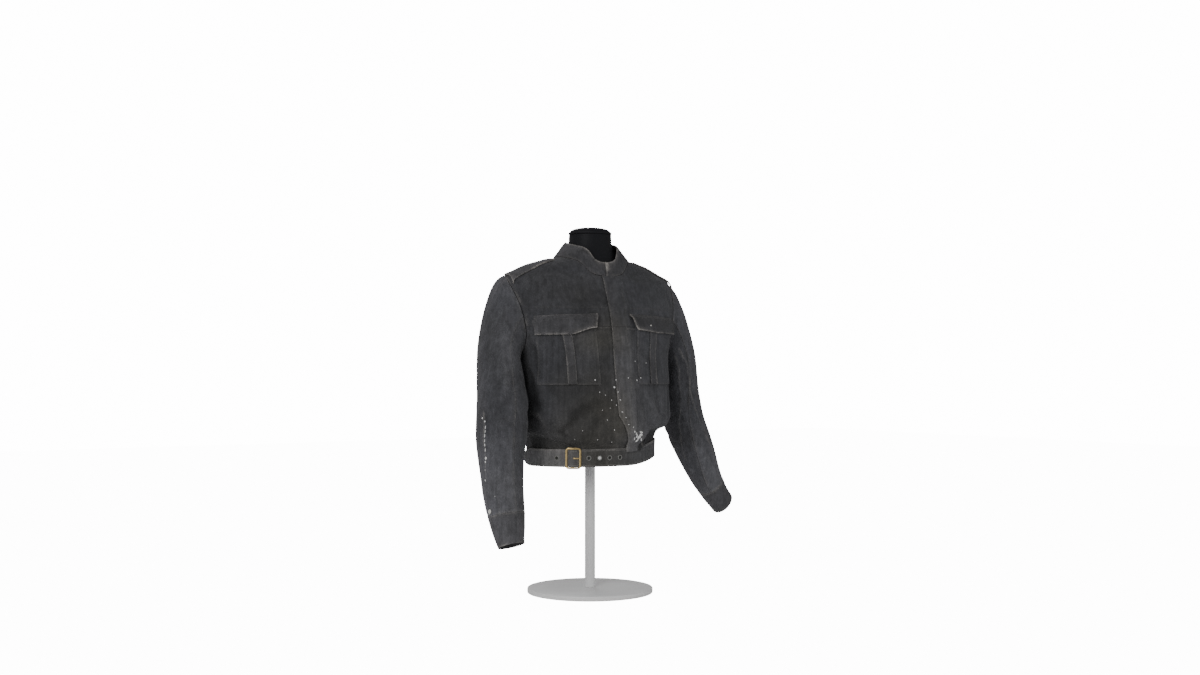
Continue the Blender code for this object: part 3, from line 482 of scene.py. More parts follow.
def addCloth(name, points, facing, worn=None, wall=bodyShape["wall"], finish="cloth", closed=False,
             seed=1, ridge=None, rubbed=0.0, shade=1.0):
    # points is the outer face, and facing points outwards from it
    piece, row, column = addGrid(name, points)
    mesh = piece.data
    across, along = arcAlong(points, 1), arcAlong(points, 0)
    corners = np.empty(len(mesh.loops), int)
    mesh.loops.foreach_get("vertex_index", corners)
    flatPlaces = np.stack([across, along], axis=-1)[row, column][corners]
    mesh.uv_layers[0].data.foreach_set("uv", flatPlaces.ravel())
    distances = {
        "first": across, "last": across[:, -1:] - across,
        "bottom": along, "top": along[-1:, :] - along,
    }
    wear = np.zeros(points.shape[:2])
    for edge, (strength, reach) in (worn or {}).items():
        wear += strength * np.exp(-distances[edge] / reach)
    uneven = 0.62 + 0.55 * softNoise(points, 0.021, seed) + 0.40 * softNoise(points, 0.0065, seed + 1)
    wear = wear * np.clip(uneven, 0.0, 1.4) + rubbed * np.clip(uneven + 0.15, 0.1, 1.3)
    ridge = np.zeros(points.shape[:2]) if ridge is None else ridge
    wear += np.clip(ridge / 0.003, 0.0, 1.0) * 0.10 * np.clip(uneven, 0.0, 1.2)
    masks = {
        # the first mask is painted shade, darker down in the fold troughs; tone is partly faded cloth and
        # partly painted light and shade
        "hollowShade": np.clip(-ridge / 0.005, 0.0, 1.0),
        "wear": np.clip(wear, 0.0, 1.0),
        "tint": np.clip(oliveShare(points), 0.0, 1.0),
        "tone": toneAt(name, points) * shade,
    }
    for label, values in masks.items():
        layer = mesh.attributes.new(label, "FLOAT", "POINT")
        layer.data.foreach_set("value", np.ascontiguousarray(values[row, column], np.float32))
    mesh.update()
    normals = np.empty(len(mesh.vertices) * 3)
    mesh.vertices.foreach_get("normal", normals)
    if np.sum(normals.reshape(-1, 3) * facing[row, column]) < 0.0:
        inEditMode(piece, (bpy.ops.mesh.flip_normals, {}))
    if closed:
        inEditMode(piece, (bpy.ops.mesh.remove_doubles, {"threshold": 0.00002}))
    addModifier(piece, "SOLIDIFY", thickness=wall, offset=-1.0, use_even_offset=True, thickness_clamp=0.6)
    node = None
    if name.startswith("cloth_"):
        node = name.removeprefix("cloth_")
        # the cut: the widest row by the longest column, and the face's own area
        sides = np.cross(points[1:, :-1] - points[:-1, :-1], points[:-1, 1:] - points[:-1, :-1])
        cut = (float(across[:, -1].max()), float(along[-1].max()))
        cuts[name] = (cut, float(np.sum(np.linalg.norm(sides, axis=-1))))
    return finishPiece(piece, finish, node, smooth=50.0)


def declareSheet(piece):
    cut, area = cuts[piece.name]
    area = min(area, cut[0] * cut[1])
    print("cut", piece.name, [round(size, 3) for size in cut], round(area, 4))


cuts = {}
# how pale each piece is at a few heights, 1 being the usual dark grey: partly faded cloth, and partly painted
# light and shade, such as the darker tops of the shoulders
tones = {
    "other": [(0.0, 1.0)],
    "sleeve_top_right": [(-0.09, 1.95), (0.02, 1.65), (0.12, 1.08), (0.3, 1.3), (0.42, 1.36)],
    "sleeve_under_right": [(-0.09, 1.7), (0.02, 1.4), (0.12, 1.05), (0.3, 1.15)],
    "sleeve_top_left": [(-0.06, 2.2), (0.05, 1.42), (0.15, 1.2), (0.3, 1.55), (0.42, 1.35)],
    "sleeve_under_left": [(-0.06, 1.6), (0.05, 1.1), (0.3, 1.2)],
    "cuff_right": [(-0.15, 1.4)],
    "cuff_left": [(-0.15, 1.12)],
    "front_right": [(0.04, 0.84), (0.12, 0.8), (0.18, 0.72), (0.21, 0.8), (0.33, 0.9)],
    "front_left": [(0.056, 1.58), (0.1, 1.35), (0.2, 1.12), (0.33, 1.12)],
    "pocket_right": [(0.1, 0.92)],
    "pocket_left": [(0.1, 1.12)],
    "flap_right": [(0.3, 0.94)],
    "flap_left": [(0.3, 0.74)],
    "yoke_right": [(0.33, 0.9), (0.4, 0.78), (0.48, 0.86)],
    "yoke_left": [(0.33, 1.1), (0.42, 1.0), (0.46, 0.8), (0.48, 0.78)],
    "collar": [(0.44, 0.85)],
    "epaulette_right": [(0.44, 0.88)],
    "epaulette_left": [(0.44, 0.78)],
}


def oliveShare(points):
    # the middle of the chest and the lower front have faded to olive brown
    x, z = points[..., 0], points[..., 2] - hemZ
    share = np.exp(-(((x + 0.06) / 0.085) ** 2)) * ease((0.48 - z) / 0.08) * (points[..., 1] < 0.03)
    share = share * (0.45 + 0.45 * ease((0.20 - z) / 0.12) + 0.40 * softNoise(points, 0.05, 21))
    share = share * (1.0 - 0.6 * ease((z - 0.34) / 0.04))
    return share + 0.10 * softNoise(points, 0.09, 22)


# materials

def setInputs(tree, node, inputs):
    # each input takes a constant or another node's output
    for label, value in inputs.items():
        if isinstance(value, bpy.types.NodeSocket):
            tree.links.new(value, node.inputs[label])
        else:
            node.inputs[label].default_value = value


def addNode(tree, kind, output=None, inputs=None, **settings):
    # a node in the next place of a loose grid; it gives back the named output, or itself
    number = len(tree.nodes)
    node = tree.nodes.new("ShaderNode" + kind)
    node.location = (240 * (number % 7) - 900, 400 - 260 * (number // 7))
    for key, value in settings.items():
        setattr(node, key, value)
    setInputs(tree, node, inputs or {})
    return node if output is None else node.outputs[output]


def newGroup(name, inputs, outputs):
    group = bpy.data.node_groups.new(name, "ShaderNodeTree")
    for label, value in inputs.items():
        kind = "NodeSocketColor" if isinstance(value, tuple) else "NodeSocketFloat"
        socket = group.interface.new_socket(name=label, in_out="INPUT", socket_type=kind)
        socket.default_value = value
    for label, kind in outputs.items():
        group.interface.new_socket(name=label, in_out="OUTPUT", socket_type="NodeSocket" + kind)
    start, end = group.nodes.new("NodeGroupInput"), group.nodes.new("NodeGroupOutput")
    start.location, end.location = (-1200, 400), (900, 400)
    return group, start.outputs, end


def noise(tree, vector, scale, detail=2.0):
    return addNode(tree, "TexNoise", "Fac", {"Vector": vector, "Scale": scale, "Detail": detail})


def spread(tree, value, *ends):
    labels = ("Value", "From Min", "From Max", "To Min", "To Max")
    return addNode(tree, "MapRange", "Result", dict(zip(labels, (value, *ends))))


def times(tree, first, second, kind="Math", clamp=False):
    if kind == "Math":
        return addNode(tree, "Math", "Value", {0: first, 1: second}, operation="MULTIPLY", use_clamp=clamp)
    return addNode(tree, "VectorMath", "Vector", {0: first, "Scale": second}, operation="SCALE")


def mix(tree, first, second, share):
    return addNode(tree, "Mix", 2, {6: first, 7: second, 0: share}, data_type="RGBA")


def makeWeaveGroup():
    # a fine twill: diagonal ribs crossed by threads, with fuzz over them
    group, start, end = newGroup(
        "wovenTwill", {"Ribs per Metre": 900.0, "Fuzz": 0.5}, {"Height": "Float", "Thread": "Float"}
    )
    grown = times(group, addNode(group, "UVMap", "UV"), start["Ribs per Metre"], "VectorMath")
    waves = {"Vector": grown, "Scale": 0.32, "Distortion": 0.6, "Detail": 1.0}
    ribs = addNode(group, "TexWave", "Fac", waves, wave_type="BANDS", bands_direction="DIAGONAL")
    waves = {"Vector": grown, "Scale": 0.55, "Distortion": 0.4}
    threads = addNode(group, "TexWave", "Fac", waves, wave_type="BANDS", bands_direction="X")
    both = addNode(group, "Math", "Value", {0: threads, 1: 0.45, 2: ribs}, operation="MULTIPLY_ADD")
    fuzz = {0: noise(group, grown, 0.9, 3.0), 1: start["Fuzz"], 2: both}
    loose = addNode(group, "Math", "Value", fuzz, operation="MULTIPLY_ADD")
    setInputs(group, end, {"Height": loose, "Thread": both})
    return group


def makeClothAgeShadeGroup():
    # old cloth: cloudy fading, olive patches, painted shade darkening the hollows, and pale worn edges; the
    # tone is partly fading and partly painted light and shade
    cloth = {
        "Cloth": (0.05, 0.05, 0.055, 1.0), "Olive": (0.055, 0.05, 0.042, 1.0),
        "Worn": (0.22, 0.21, 0.2, 1.0), "Thread": 0.5,
    }
    group, start, end = newGroup("agedClothAndShade", cloth, {"Colour": "Color", "Roughness": "Float"})
    places = addNode(group, "TexCoord", "Object")
    tint, wear, hollowShade, tone = (
        addNode(group, "Attribute", "Fac", attribute_name=name) for name in ("tint", "wear", "hollowShade", "tone")
    )
    clouds = noise(group, places, 9.0, 5.0)
    mottle = noise(group, places, 70.0, 4.0)
    grit = noise(group, places, 420.0, 3.0)
    # fine faded streaks that run down the cloth
    streaks = addNode(group, "VectorMath", "Vector", {0: places, 1: (1.0, 1.0, 0.06)}, operation="MULTIPLY")
    shade = spread(group, clouds, 0.32, 0.68, 0.8, 1.22)
    for share in (
        spread(group, mottle, 0.3, 0.7, 0.8, 1.22),
        spread(group, grit, 0.3, 0.7, 0.82, 1.18),
        spread(group, start["Thread"], 0.0, 1.45, 0.84, 1.16),
        spread(group, noise(group, streaks, 150.0), 0.32, 0.68, 0.85, 1.15),
        tone,
    ):
        shade = times(group, shade, share)
    colour = times(group, mix(group, start["Cloth"], start["Olive"], tint), shade, "VectorMath")
    # painted shade: the colour darkens down in the creases and hollows
    colour = times(group, colour, spread(group, hollowShade, 0.0, 1.0, 1.0, 0.62), "VectorMath")
    rub = times(group, wear, spread(group, grit, 0.36, 0.6, 0.25, 1.25), clamp=True)
    rough = spread(group, mottle, 0.3, 0.7, 0.84, 0.97)
    setInputs(group, end, {"Colour": mix(group, colour, start["Worn"], rub), "Roughness": rough})
    return group


weaveGroup = makeWeaveGroup()
clothAgeShadeGroup = makeClothAgeShadeGroup()


def newMaterial(name):
    material = bpy.data.materials.new(name)
    material.use_nodes = True
    return material, material.node_tree, material.node_tree.nodes["Principled BSDF"]


def clothMaterial(name, cloth, olive, worn):
    material, tree, shader = newMaterial(name)
    weave = addNode(tree, "Group", node_tree=weaveGroup)
    weave.inputs["Ribs per Metre"].default_value = 900.0
    fade = addNode(tree, "Group", node_tree=clothAgeShadeGroup)
    setInputs(tree, fade, {
        "Cloth": (*cloth, 1.0), "Olive": (*olive, 1.0), "Worn": (*worn, 1.0),
        "Thread": weave.outputs["Thread"],
    })
    bump = {"Strength": 0.35, "Distance": 0.0006, "Height": weave.outputs["Height"]}
    setInputs(tree, shader, {
        "Base Color": fade.outputs["Colour"], "Roughness": fade.outputs["Roughness"],
        "Normal": addNode(tree, "Bump", "Normal", bump),
        "Sheen Weight": 0.08, "Sheen Roughness": 0.5, "Specular IOR Level": 0.22,
    })
    return material


def plainMaterial(name, colour, roughness, metallic=0.0, grain=60.0, change=0.25, bumpDepth=0.1, gloss=0.5):
    # a hard finish: its colour and gloss drift a little, with fine scratches
    material, tree, shader = newMaterial(name)
    places = addNode(tree, "TexCoord", "Object")
    cloud = noise(tree, places, grain, 5.0)
    dark = (*(channel * (1.0 - change) for channel in colour), 1.0)
    pale = (*(min(channel * (1.0 + change), 1.0) for channel in colour), 1.0)
    bump = {"Strength": bumpDepth, "Distance": 0.0004, "Height": noise(tree, places, grain * 9.0)}
    setInputs(tree, shader, {
        "Base Color": mix(tree, dark, pale, cloud),
        "Roughness": spread(tree, cloud, 0.3, 0.7, max(roughness - 0.1, 0.02), min(roughness + 0.1, 1.0)),
        "Normal": addNode(tree, "Bump", "Normal", bump),
        "Metallic": metallic, "Specular IOR Level": gloss,
    })
    return material


finishes = {
    "cloth": clothMaterial("fadedSerge", (0.05, 0.05, 0.056), (0.062, 0.058, 0.05), (0.2, 0.19, 0.18)),
    "trim": clothMaterial("wornTrim", (0.058, 0.057, 0.062), (0.058, 0.054, 0.048), (0.34, 0.32, 0.3)),
    "band": clothMaterial("beltSerge", (0.066, 0.066, 0.07), (0.062, 0.058, 0.052), (0.26, 0.25, 0.24)),
    "brass": plainMaterial("agedBrass", (0.5, 0.37, 0.17), 0.36, 1.0, grain=180.0, change=0.3),
    "eyelet": plainMaterial("dullEyelet", (0.2, 0.2, 0.19), 0.5, 0.6, grain=300.0, change=0.4),
    # a near-black finish for holes: painted shade inside the eyelets and the button's thread holes
    "hole": plainMaterial("holeShade", (0.02, 0.02, 0.018), 0.9, grain=300.0, change=0.3),
    "button": plainMaterial("chalkyButton", (0.66, 0.65, 0.61), 0.5, grain=200.0, change=0.15),
    "form": plainMaterial("satinBlack", (0.011, 0.011, 0.0132), 0.6, grain=14.0, change=0.25, gloss=0.12),
    "stand": plainMaterial("standWhite", (0.8, 0.8, 0.8), 0.45, grain=20.0, change=0.04),
    "thread": plainMaterial("paleThread", (0.105, 0.102, 0.098), 0.9, grain=300.0, change=0.35, gloss=0.2),
    "fray": plainMaterial("frayedThread", (0.42, 0.4, 0.38), 0.9, grain=300.0, change=0.3, gloss=0.2),
    "paint": plainMaterial("driedPaint", (0.7, 0.7, 0.69), 0.7, grain=500.0, change=0.2, bumpDepth=0.4),
}
print("stage: materials made")


# blouse panels

panelSettings = {
    "frontWear": {"first": (0.75, 0.0022), "bottom": (0.15, 0.004), "last": (0.15, 0.003)},
    "yokeWear": {
        "first": (0.6, 0.0022), "bottom": (0.05, 0.002), "last": (0.85, 0.0026), "top": (0.12, 0.003),
    },
    "backWear": {"first": (0.15, 0.003), "last": (0.15, 0.003), "bottom": (0.15, 0.004)},
    # rubbed lines: angle, height, angle, height, half width, strength
    "rubbed": [
        (-20.0, 0.3265, -3.8, 0.3295, 0.0014, 0.34), (4.4, 0.327, 11.0, 0.3275, 0.0013, 0.26),
        (-54.0, 0.374, -2.0, 0.376, 0.0011, 0.12), (4.0, 0.376, 54.0, 0.374, 0.0011, 0.14),
        (5.6, 0.4115, 4.4, 0.3235, 0.0012, 0.18), (4.4, 0.3235, 6.0, 0.2295, 0.0012, 0.18),
        (6.0, 0.2295, 4.0, 0.137, 0.0012, 0.18), (12.6, 0.083, 15.2, 0.056, 0.0013, 0.55),
        (15.2, 0.056, 22.6, 0.04, 0.0013, 0.5), (4.5, 0.085, 12.6, 0.083, 0.0012, 0.25),
        (-16.0, 0.05, 5.0, 0.047, 0.0015, 0.12),
    ],
}


def foldedBody(angle, height, lift):
    # the wearer's right side is fuller just above the band
    fold = bodyFold(angle, height) + 0.0045 * bell(halfTurn(angle), -124.0, 20.0) * bell(height, 0.066, 0.02)
    return bodyPoint(angle, height, lift + fold), bodyNormal(angle, height), fold


def bodyShade(angle, height):
    # deep shade by the sleeves, below the folds over the band and in the hollow of the right side
    turned = halfTurn(angle)
    shade = 1.0 - 0.5 * ease((np.abs(turned) - 64.0) / 14.0)
    hollowShade = bell(turned, -68.0, 9.0) * bell(height, 0.145, 0.03)
    bulge = bell(turned, -62.0, 12.0) * bell(height, 0.085, 0.03)
    under = ramp(turned, (14.5, 17.0)) * (1.0 - ramp(height, (0.05, 0.057))) * (turned < 80.0)
    placket = (1.0 - ramp(turned, (6.0, 9.0))) * (turned > -6.0) * ease((0.33 - height) / 0.03)
    return shade * (1.0 - 0.55 * hollowShade - 0.30 * bulge) * (1.0 - 0.78 * under) * (1.0 + 0.30 * placket)


def frontEdgeX(side, height):
    if side > 0:
        return tableValue(bodyShape["frontEdge"], 1, height)
    return np.full(np.shape(height), bodyShape["underlapX"])


def addPanel(name, angle, height, lift, worn, seed, isFront=True, shade=1.0):
    rubbed = 0.0
    if isFront:
        perDegree = bodyShape["metresPerDegree"]
        table = [(a * perDegree, h, b * perDegree, k, w, s) for a, h, b, k, w, s in panelSettings["rubbed"]]
        rubbed = lineWear(angle * perDegree, height, table)
    points, facing, fold = foldedBody(angle, height, lift)
    return addCloth(name, points, facing, panelSettings[worn],
                    seed=seed, ridge=fold, rubbed=rubbed, shade=shade)


def makeLowerFront(name, side):
    columns = 124
    tab = bodyShape["tabColumns"]
    low, top = bodyShape["bandHeight"] + 0.0008, bodyShape["yokeSeam"] - bodyShape["seamGap"]
    height = evenSteps(lambda up: bodyPoint(side * 45.0, up), low, top, columns, 400)[:, None]
    edge = frontEdgeX(side, height)
    near = 44 if side > 0 else 14
    inner = tab[4] if side > 0 else -0.02
    angles = angleAt(edge + (inner - edge) * np.linspace(0.0, 1.0, near)[None, :], height)
    rest = np.linspace(0.0, 1.0, columns - near + 1)[None, 1:]
    start = angles[:, -1:]
    angles = np.concatenate([angles, start + (sideEdge(side, height) - start) * rest], axis=1)
    heights = np.broadcast_to(height, angles.shape).copy()
    x = bodyX(angles, heights)
    if side > 0:  # the tab hangs below the band's top edge
        drop = (low - bodyShape["tabBottom"]) * (1.0 - ease((x - tab[2]) / (tab[3] - tab[2])))
        heights -= drop * np.clip(1.0 - (heights - low) / 0.02, 0.0, 1.0)
    lift = frontLift(side, x, heights)
    return addPanel(name, angles, heights, lift, "frontWear", 30 + side, shade=bodyShade(angles, heights))


def makeYoke(name, side):
    columns, rows, near = 96, 72, 22
    yoke = bodyShape["yokeSeam"]
    edge = float(frontEdgeX(side, np.array(yoke)))
    inner = bodyShape["tabColumns"][1] if side > 0 else -0.040
    nearX = edge + (inner - edge) * np.linspace(0.0, 1.0, near)
    x = np.concatenate([nearX, np.full(columns - near, inner)])[None, :]
    outer = 1.0 - (1.0 - np.linspace(0.0, 1.0, columns - near + 1)[1:]) ** 1.15
    u = np.concatenate([np.zeros(near), outer])[None, :]
    rise = float(neckline(side * 62.0)) - yoke
    v = evenSteps(lambda share: bodyPoint(side * 62.0, yoke + share * rise), 0.0, 1.0, rows, 300)[:, None]
    angle = np.full((rows, columns), side * 45.0)
    for _ in range(14):
        height = yoke + v * (neckline(angle) - bodyShape["seamGap"] / 2.0 - yoke)
        angle = angleAt(x, height)
        angle = angle + u * (sideEdge(side, height) - angle)
    lift = frontLift(side, bodyX(angle, height), height)
    return addPanel(name, angle, height, lift, "yokeWear", 40 + side)


def makeBack(name):
    low, sideTop = bodyShape["bandHeight"] + 0.0008, float(neckline(90.0))
    height = evenSteps(lambda up: bodyPoint(112.0, up), low, sideTop, 165, 600)[:, None]
    u = np.linspace(-1.0, 1.0, 181)[None, :]
    u = np.copysign(1.0 - (1.0 - np.abs(u)) ** 1.15, u)
    angles = 180.0 - u * np.abs(sideEdge(1, height))
    share = ease((height - bodyShape["shoulder"]) / (sideTop - bodyShape["shoulder"]))
    heights = height + share * (neckline(angles) - sideTop) - share * bodyShape["seamGap"] / 2.0
    return addPanel(name, angles, heights, 0.0, "backWear", 50, isFront=False)


fronts = {-1: makeLowerFront("cloth_front_right", -1), 1: makeLowerFront("cloth_front_left", 1)}
yokes = {-1: makeYoke("cloth_yoke_right", -1), 1: makeYoke("cloth_yoke_left", 1)}
back = makeBack("cloth_back")
print("stage: blouse panels made")


# collar

collarShape = {
    "topHalfWidth": 0.0585,
    "topFront": 0.071,
    "topBack": 0.056,
    "frontHeight": 0.0335,
    "backHeight": 0.037,
    "gap": 0.0018,
    "lap": (-1.6, 14.0),
    "lapLift": 0.003,
    "end": 359.6,
    "wall": 0.0024,
    "worn": {"first": (1.2, 0.005), "last": (0.3, 0.003), "top": (0.95, 0.003), "bottom": (0.22, 0.0022)},
}


def collarPoint(turn, share, out=0.0):
    # turn is the direction round the neck: 0 is ahead and 90 the wearer's left
    turn, share, out = together(turn, share, out)
    radians = np.radians(turn)
    power = 2.0 / bodyShape["neckBoxiness"]
    across, ahead = signedPower(np.sin(radians), power), signedPower(np.cos(radians), power)
    depth = np.where(ahead > 0.0, bodyShape["neckFront"], bodyShape["neckBack"])
    base = topSurface(bodyShape["neckHalfWidth"] * across, -depth * ahead)
    base[..., 2] += collarShape["gap"]
    depth = np.where(ahead > 0.0, collarShape["topFront"], collarShape["topBack"])
    rise = between((collarShape["frontHeight"], collarShape["backHeight"]), (1.0 - np.cos(radians)) / 2.0)
    top = stacked(collarShape["topHalfWidth"] * across, -depth * ahead, base[..., 2] + rise)
    point = base * (1.0 - share[..., None]) + top * share[..., None]
    level = unit(point * (1.0, 1.0, 0.0))
    return point + level * out[..., None], level


def collarTurns(count):
    # directions that split the collar's base into equal lengths
    first, last = collarShape["lap"][0], collarShape["end"]
    return evenSteps(lambda turn: collarPoint(turn, 0.0)[0], first, last, count, 500)


def collarFace(turn, share, out=0.0):
    # the collar's outer face: its left end laps over the right one, and it waves a little
    smooth = collarPoint(turn, share)[0]
    lap = collarShape["lapLift"] * (1.0 - ramp(turn, collarShape["lap"]))
    wave = 0.0009 * softNoise(smooth, 0.024, 61) + 0.0004 * softNoise(smooth, 0.008, 62)
    wave = wave * ease(share / 0.3) - 0.0010 * np.clip((share - 0.78) / 0.22, 0.0, 1.0) ** 2
    fringe = 0.0011 * np.exp(-(turn - collarShape["lap"][0]) / 5.0) * softNoise(smooth, 0.004, 64)
    points, level = collarPoint(turn, share, lap + wave + fringe + out)
    points[..., 2] += 0.0009 * softNoise(smooth, 0.018, 63) * ease((share - 0.5) / 0.5)
    # its right side slumps a little and its back corner stands up
    turned = halfTurn(turn)
    points[..., 2] -= (0.0062 * bell(turned, -74.0, 30.0) - 0.0030 * bell(turned, -132.0, 24.0)) * share
    return points, level, wave


def makeCollar():
    points, level, wave = collarFace(*gridOf(collarTurns(170), np.linspace(0.0, 1.0, 20)))
    return addCloth("cloth_collar", points, level, collarShape["worn"], collarShape["wall"], "trim",
                    seed=60, ridge=wave * 0.6)


# sleeves

sleeveShape = {
    "capFullness": 0.105,
    "frontSeam": 92.0,
    "backSeam": -100.0,
    "seamGap": 0.5,
    "cuffRow": 6,
    "metresPerDegree": 0.00095,
    "lengths": (0.205, 0.335),
    "worn": {"first": (0.35, 0.0035), "last": (0.35, 0.0035), "bottom": (0.35, 0.004), "top": (0.5, 0.003)},
    "cuffWorn": {"top": (0.55, 0.0022), "bottom": (0.65, 0.0026)},
    "tuck": 0.0034,
    "cuffWall": 0.0022,
    "turningWall": 0.0006,
    # height, x away from the body, y, half width sideways, half width fore and aft, turn
    "right": [
        (0.24, 0.257, -0.012, 0.0485, 0.06, 0.0), (0.19, 0.262, -0.03, 0.053, 0.061, 0.0),
        (0.15, 0.267, -0.046, 0.0575, 0.062, 0.0), (0.09, 0.278, -0.061, 0.058, 0.06, 0.0),
        (0.03, 0.285, -0.073, 0.051, 0.056, 0.0), (-0.03, 0.286, -0.083, 0.045, 0.052, 0.0),
        (-0.092, 0.284, -0.095, 0.04, 0.047, 0.0), (-0.125, 0.283, -0.103, 0.0355, 0.041, 0.0),
        (-0.16, 0.282, -0.114, 0.0275, 0.035, 0.0),
    ],
    "left": [
        (0.24, 0.256, 0.002, 0.0475, 0.06, 0.0), (0.19, 0.268, 0.01, 0.0495, 0.061, 6.0),
        (0.15, 0.281, 0.018, 0.051, 0.061, 12.0), (0.09, 0.306, 0.028, 0.051, 0.06, 20.0),
        (0.028, 0.339, 0.032, 0.048, 0.057, 28.0), (-0.03, 0.371, 0.036, 0.041, 0.054, 33.0),
        (-0.062, 0.392, 0.038, 0.036, 0.051, 33.0), (-0.088, 0.411, 0.038, 0.032, 0.05, 33.0),
        (-0.112, 0.43, 0.036, 0.03, 0.049, 33.0),
    ],
    # creases: angle, place, angle, place, half width, depth, bow (place 0-1 head, 1-2 tube)
    "rightCreases": [
        (26, 0.25, 22, 1.15, 0.012, -0.0016, 0.003), (72, 0.55, 70, 1.3, 0.011, 0.0016, 0.002),
        (48, 0.95, 40, 1.5, 0.013, -0.0018, 0.004), (16, 1.36, 8, 1.88, 0.005, 0.0015, 0.001),
        (88, 1.16, 60, 1.36, 0.0115, -0.003, 0.004), (90, 1.42, 56, 1.53, 0.0105, -0.0022, -0.003),
        (64, 1.52, 50, 1.94, 0.0095, -0.0014, 0.002), (32, 1.66, 27, 1.97, 0.008, -0.0012, 0.0),
        (-14, 1.1, -16, 1.75, 0.011, -0.0013, 0.002), (-42, 0.3, -38, 1.2, 0.012, -0.0018, 0.004),
        (-92, 1.18, -56, 1.34, 0.0115, -0.0028, 0.003), (-90, 1.42, -54, 1.52, 0.0105, -0.0024, -0.003),
        (-66, 1.58, -50, 1.92, 0.0095, -0.0014, 0.002), (150, 1.05, 200, 1.18, 0.0115, -0.003, 0.003),
        (142, 1.32, 214, 1.38, 0.011, -0.003, 0.002), (152, 1.54, 204, 1.5, 0.01, -0.0024, 0.002),
    ],
    "leftCreases": [
        (112, 0.45, 89, 1.157, 0.0052, 0.002, 0.0), (89, 1.157, 50, 1.518, 0.0052, 0.0022, 0.001),
        (50, 1.518, 22, 1.92, 0.005, 0.002, 0.0), (128, 0.44, 117, 1.295, 0.006, 0.0016, 0.001),
        (117, 1.295, 132, 1.708, 0.0055, 0.0018, 0.0), (100, 1.05, 78, 1.42, 0.011, -0.003, 0.003),
        (66, 1.5, 40, 1.86, 0.01, -0.002, 0.002), (104, 1.44, 98, 1.88, 0.01, -0.002, 0.002),
        (30, 0.3, 24, 1.1, 0.012, -0.0016, 0.003), (-10, 1.1, -18, 1.7, 0.011, -0.0013, 0.002),
        (-42, 0.3, -38, 1.18, 0.012, -0.0018, 0.004), (-92, 1.18, -56, 1.34, 0.0115, -0.0028, 0.003),
        (-88, 1.44, -52, 1.54, 0.0105, -0.0022, -0.003), (-64, 1.62, -50, 1.92, 0.009, -0.0014, 0.002),
        (152, 1.06, 202, 1.2, 0.0115, -0.0028, 0.003), (146, 1.34, 212, 1.4, 0.011, -0.0028, 0.002),
        (154, 1.56, 204, 1.52, 0.01, -0.0022, 0.002),
    ],
    # rubbed lines: angle, place, angle, place, half width, strength
    "rightRubbed": [
        (16, 1.36, 22, 1.45, 0.0014, 0.55), (22, 1.45, 16, 1.64, 0.0014, 0.75),
        (16, 1.64, 7, 1.78, 0.0013, 0.45), (40, 1.9, 38, 1.99, 0.0012, 0.45),
        (26, 0.02, 24, 0.25, 0.003, 0.2),
    ],
    "leftRubbed": [
        (112, 0.45, 89, 1.157, 0.0016, 0.4), (89, 1.157, 50, 1.518, 0.0016, 0.5),
        (50, 1.518, 22, 1.92, 0.0016, 0.5), (128, 0.44, 117, 1.295, 0.0015, 0.32),
        (117, 1.295, 132, 1.708, 0.0015, 0.38),
    ],
}
sleeveWords = {-1: "right", 1: "left"}


def sleeveCentre(side, height):
    rows = sleeveShape[sleeveWords[side]]
    return stacked(side * tableValue(rows, 1, height), tableValue(rows, 2, height), hemZ + height)


def sleeveTube(side, angle, height):
    # a ring of the sleeve's tube: angle 0 is outermost and 90 faces forward
    rows = sleeveShape[sleeveWords[side]]
    angle, height = together(angle, height)
    low, high = np.maximum(height - 0.004, rows[-1][0]), np.minimum(height + 0.004, rows[0][0])
    down = unit(sleeveCentre(side, low) - sleeveCentre(side, high))
    turn = np.radians(tableValue(rows, 5, height))
    outward = np.stack([side * np.cos(turn), -np.sin(turn), np.zeros_like(turn)], axis=-1)
    outward = unit(outward - down * np.sum(outward * down, axis=-1, keepdims=True))
    forward = unit(np.cross(outward, down))
    forward = np.where(forward[..., 1:2] > 0.0, -forward, forward)
    radians = np.radians(angle)
    aside = (tableValue(rows, 3, height) * np.cos(radians))[..., None]
    ahead = (tableValue(rows, 4, height) * np.sin(radians))[..., None]
    return sleeveCentre(side, height) + outward * aside + forward * ahead


def armholePoint(side, angle):
    radians = np.radians(angle)
    sweep = (bodyShape["armholeSweep"] - bodyShape["armholeEase"]) * np.sin(radians)
    height = armMiddle + (armReach + bodyShape["seamGap"]) * np.cos(radians)
    return bodyPoint(side * (90.0 - sweep), height, 0.0014 - 0.0004 * np.cos(radians))


def cuffTop(side):
    return sleeveShape[sleeveWords[side]][sleeveShape["cuffRow"]][0]


def sleeveSurface(side, angle, place):
    # place runs 0 to 1 over the sleeve head, and from 1 to 2 down the tube
    angle, place = together(angle, place)
    top, bottom = sleeveShape[sleeveWords[side]][0][0], cuffTop(side) + bodyShape["seamGap"] / 2.0
    tube = sleeveTube(side, angle, top + (np.maximum(place, 1.0) - 1.0) * (bottom - top))
    start = armholePoint(side, angle)
    end, after = sleeveTube(side, angle, top), sleeveTube(side, angle, top - 0.004)
    reach = np.linalg.norm(end - start, axis=-1)[..., None]
    outer = ((1.0 + np.cos(np.radians(angle))) / 2.0)[..., None]
    leave = np.array((side, 0.0, -0.25)) * sleeveShape["capFullness"] * outer
    leave = leave + np.array((side * 0.25, 0.0, -1.0)) * reach * (1.0 - outer)
    head = curve(np.minimum(place, 1.0)[..., None], start, leave, end, unit(after - end) * reach)
    return np.where(place[..., None] >= 1.0, tube, head)


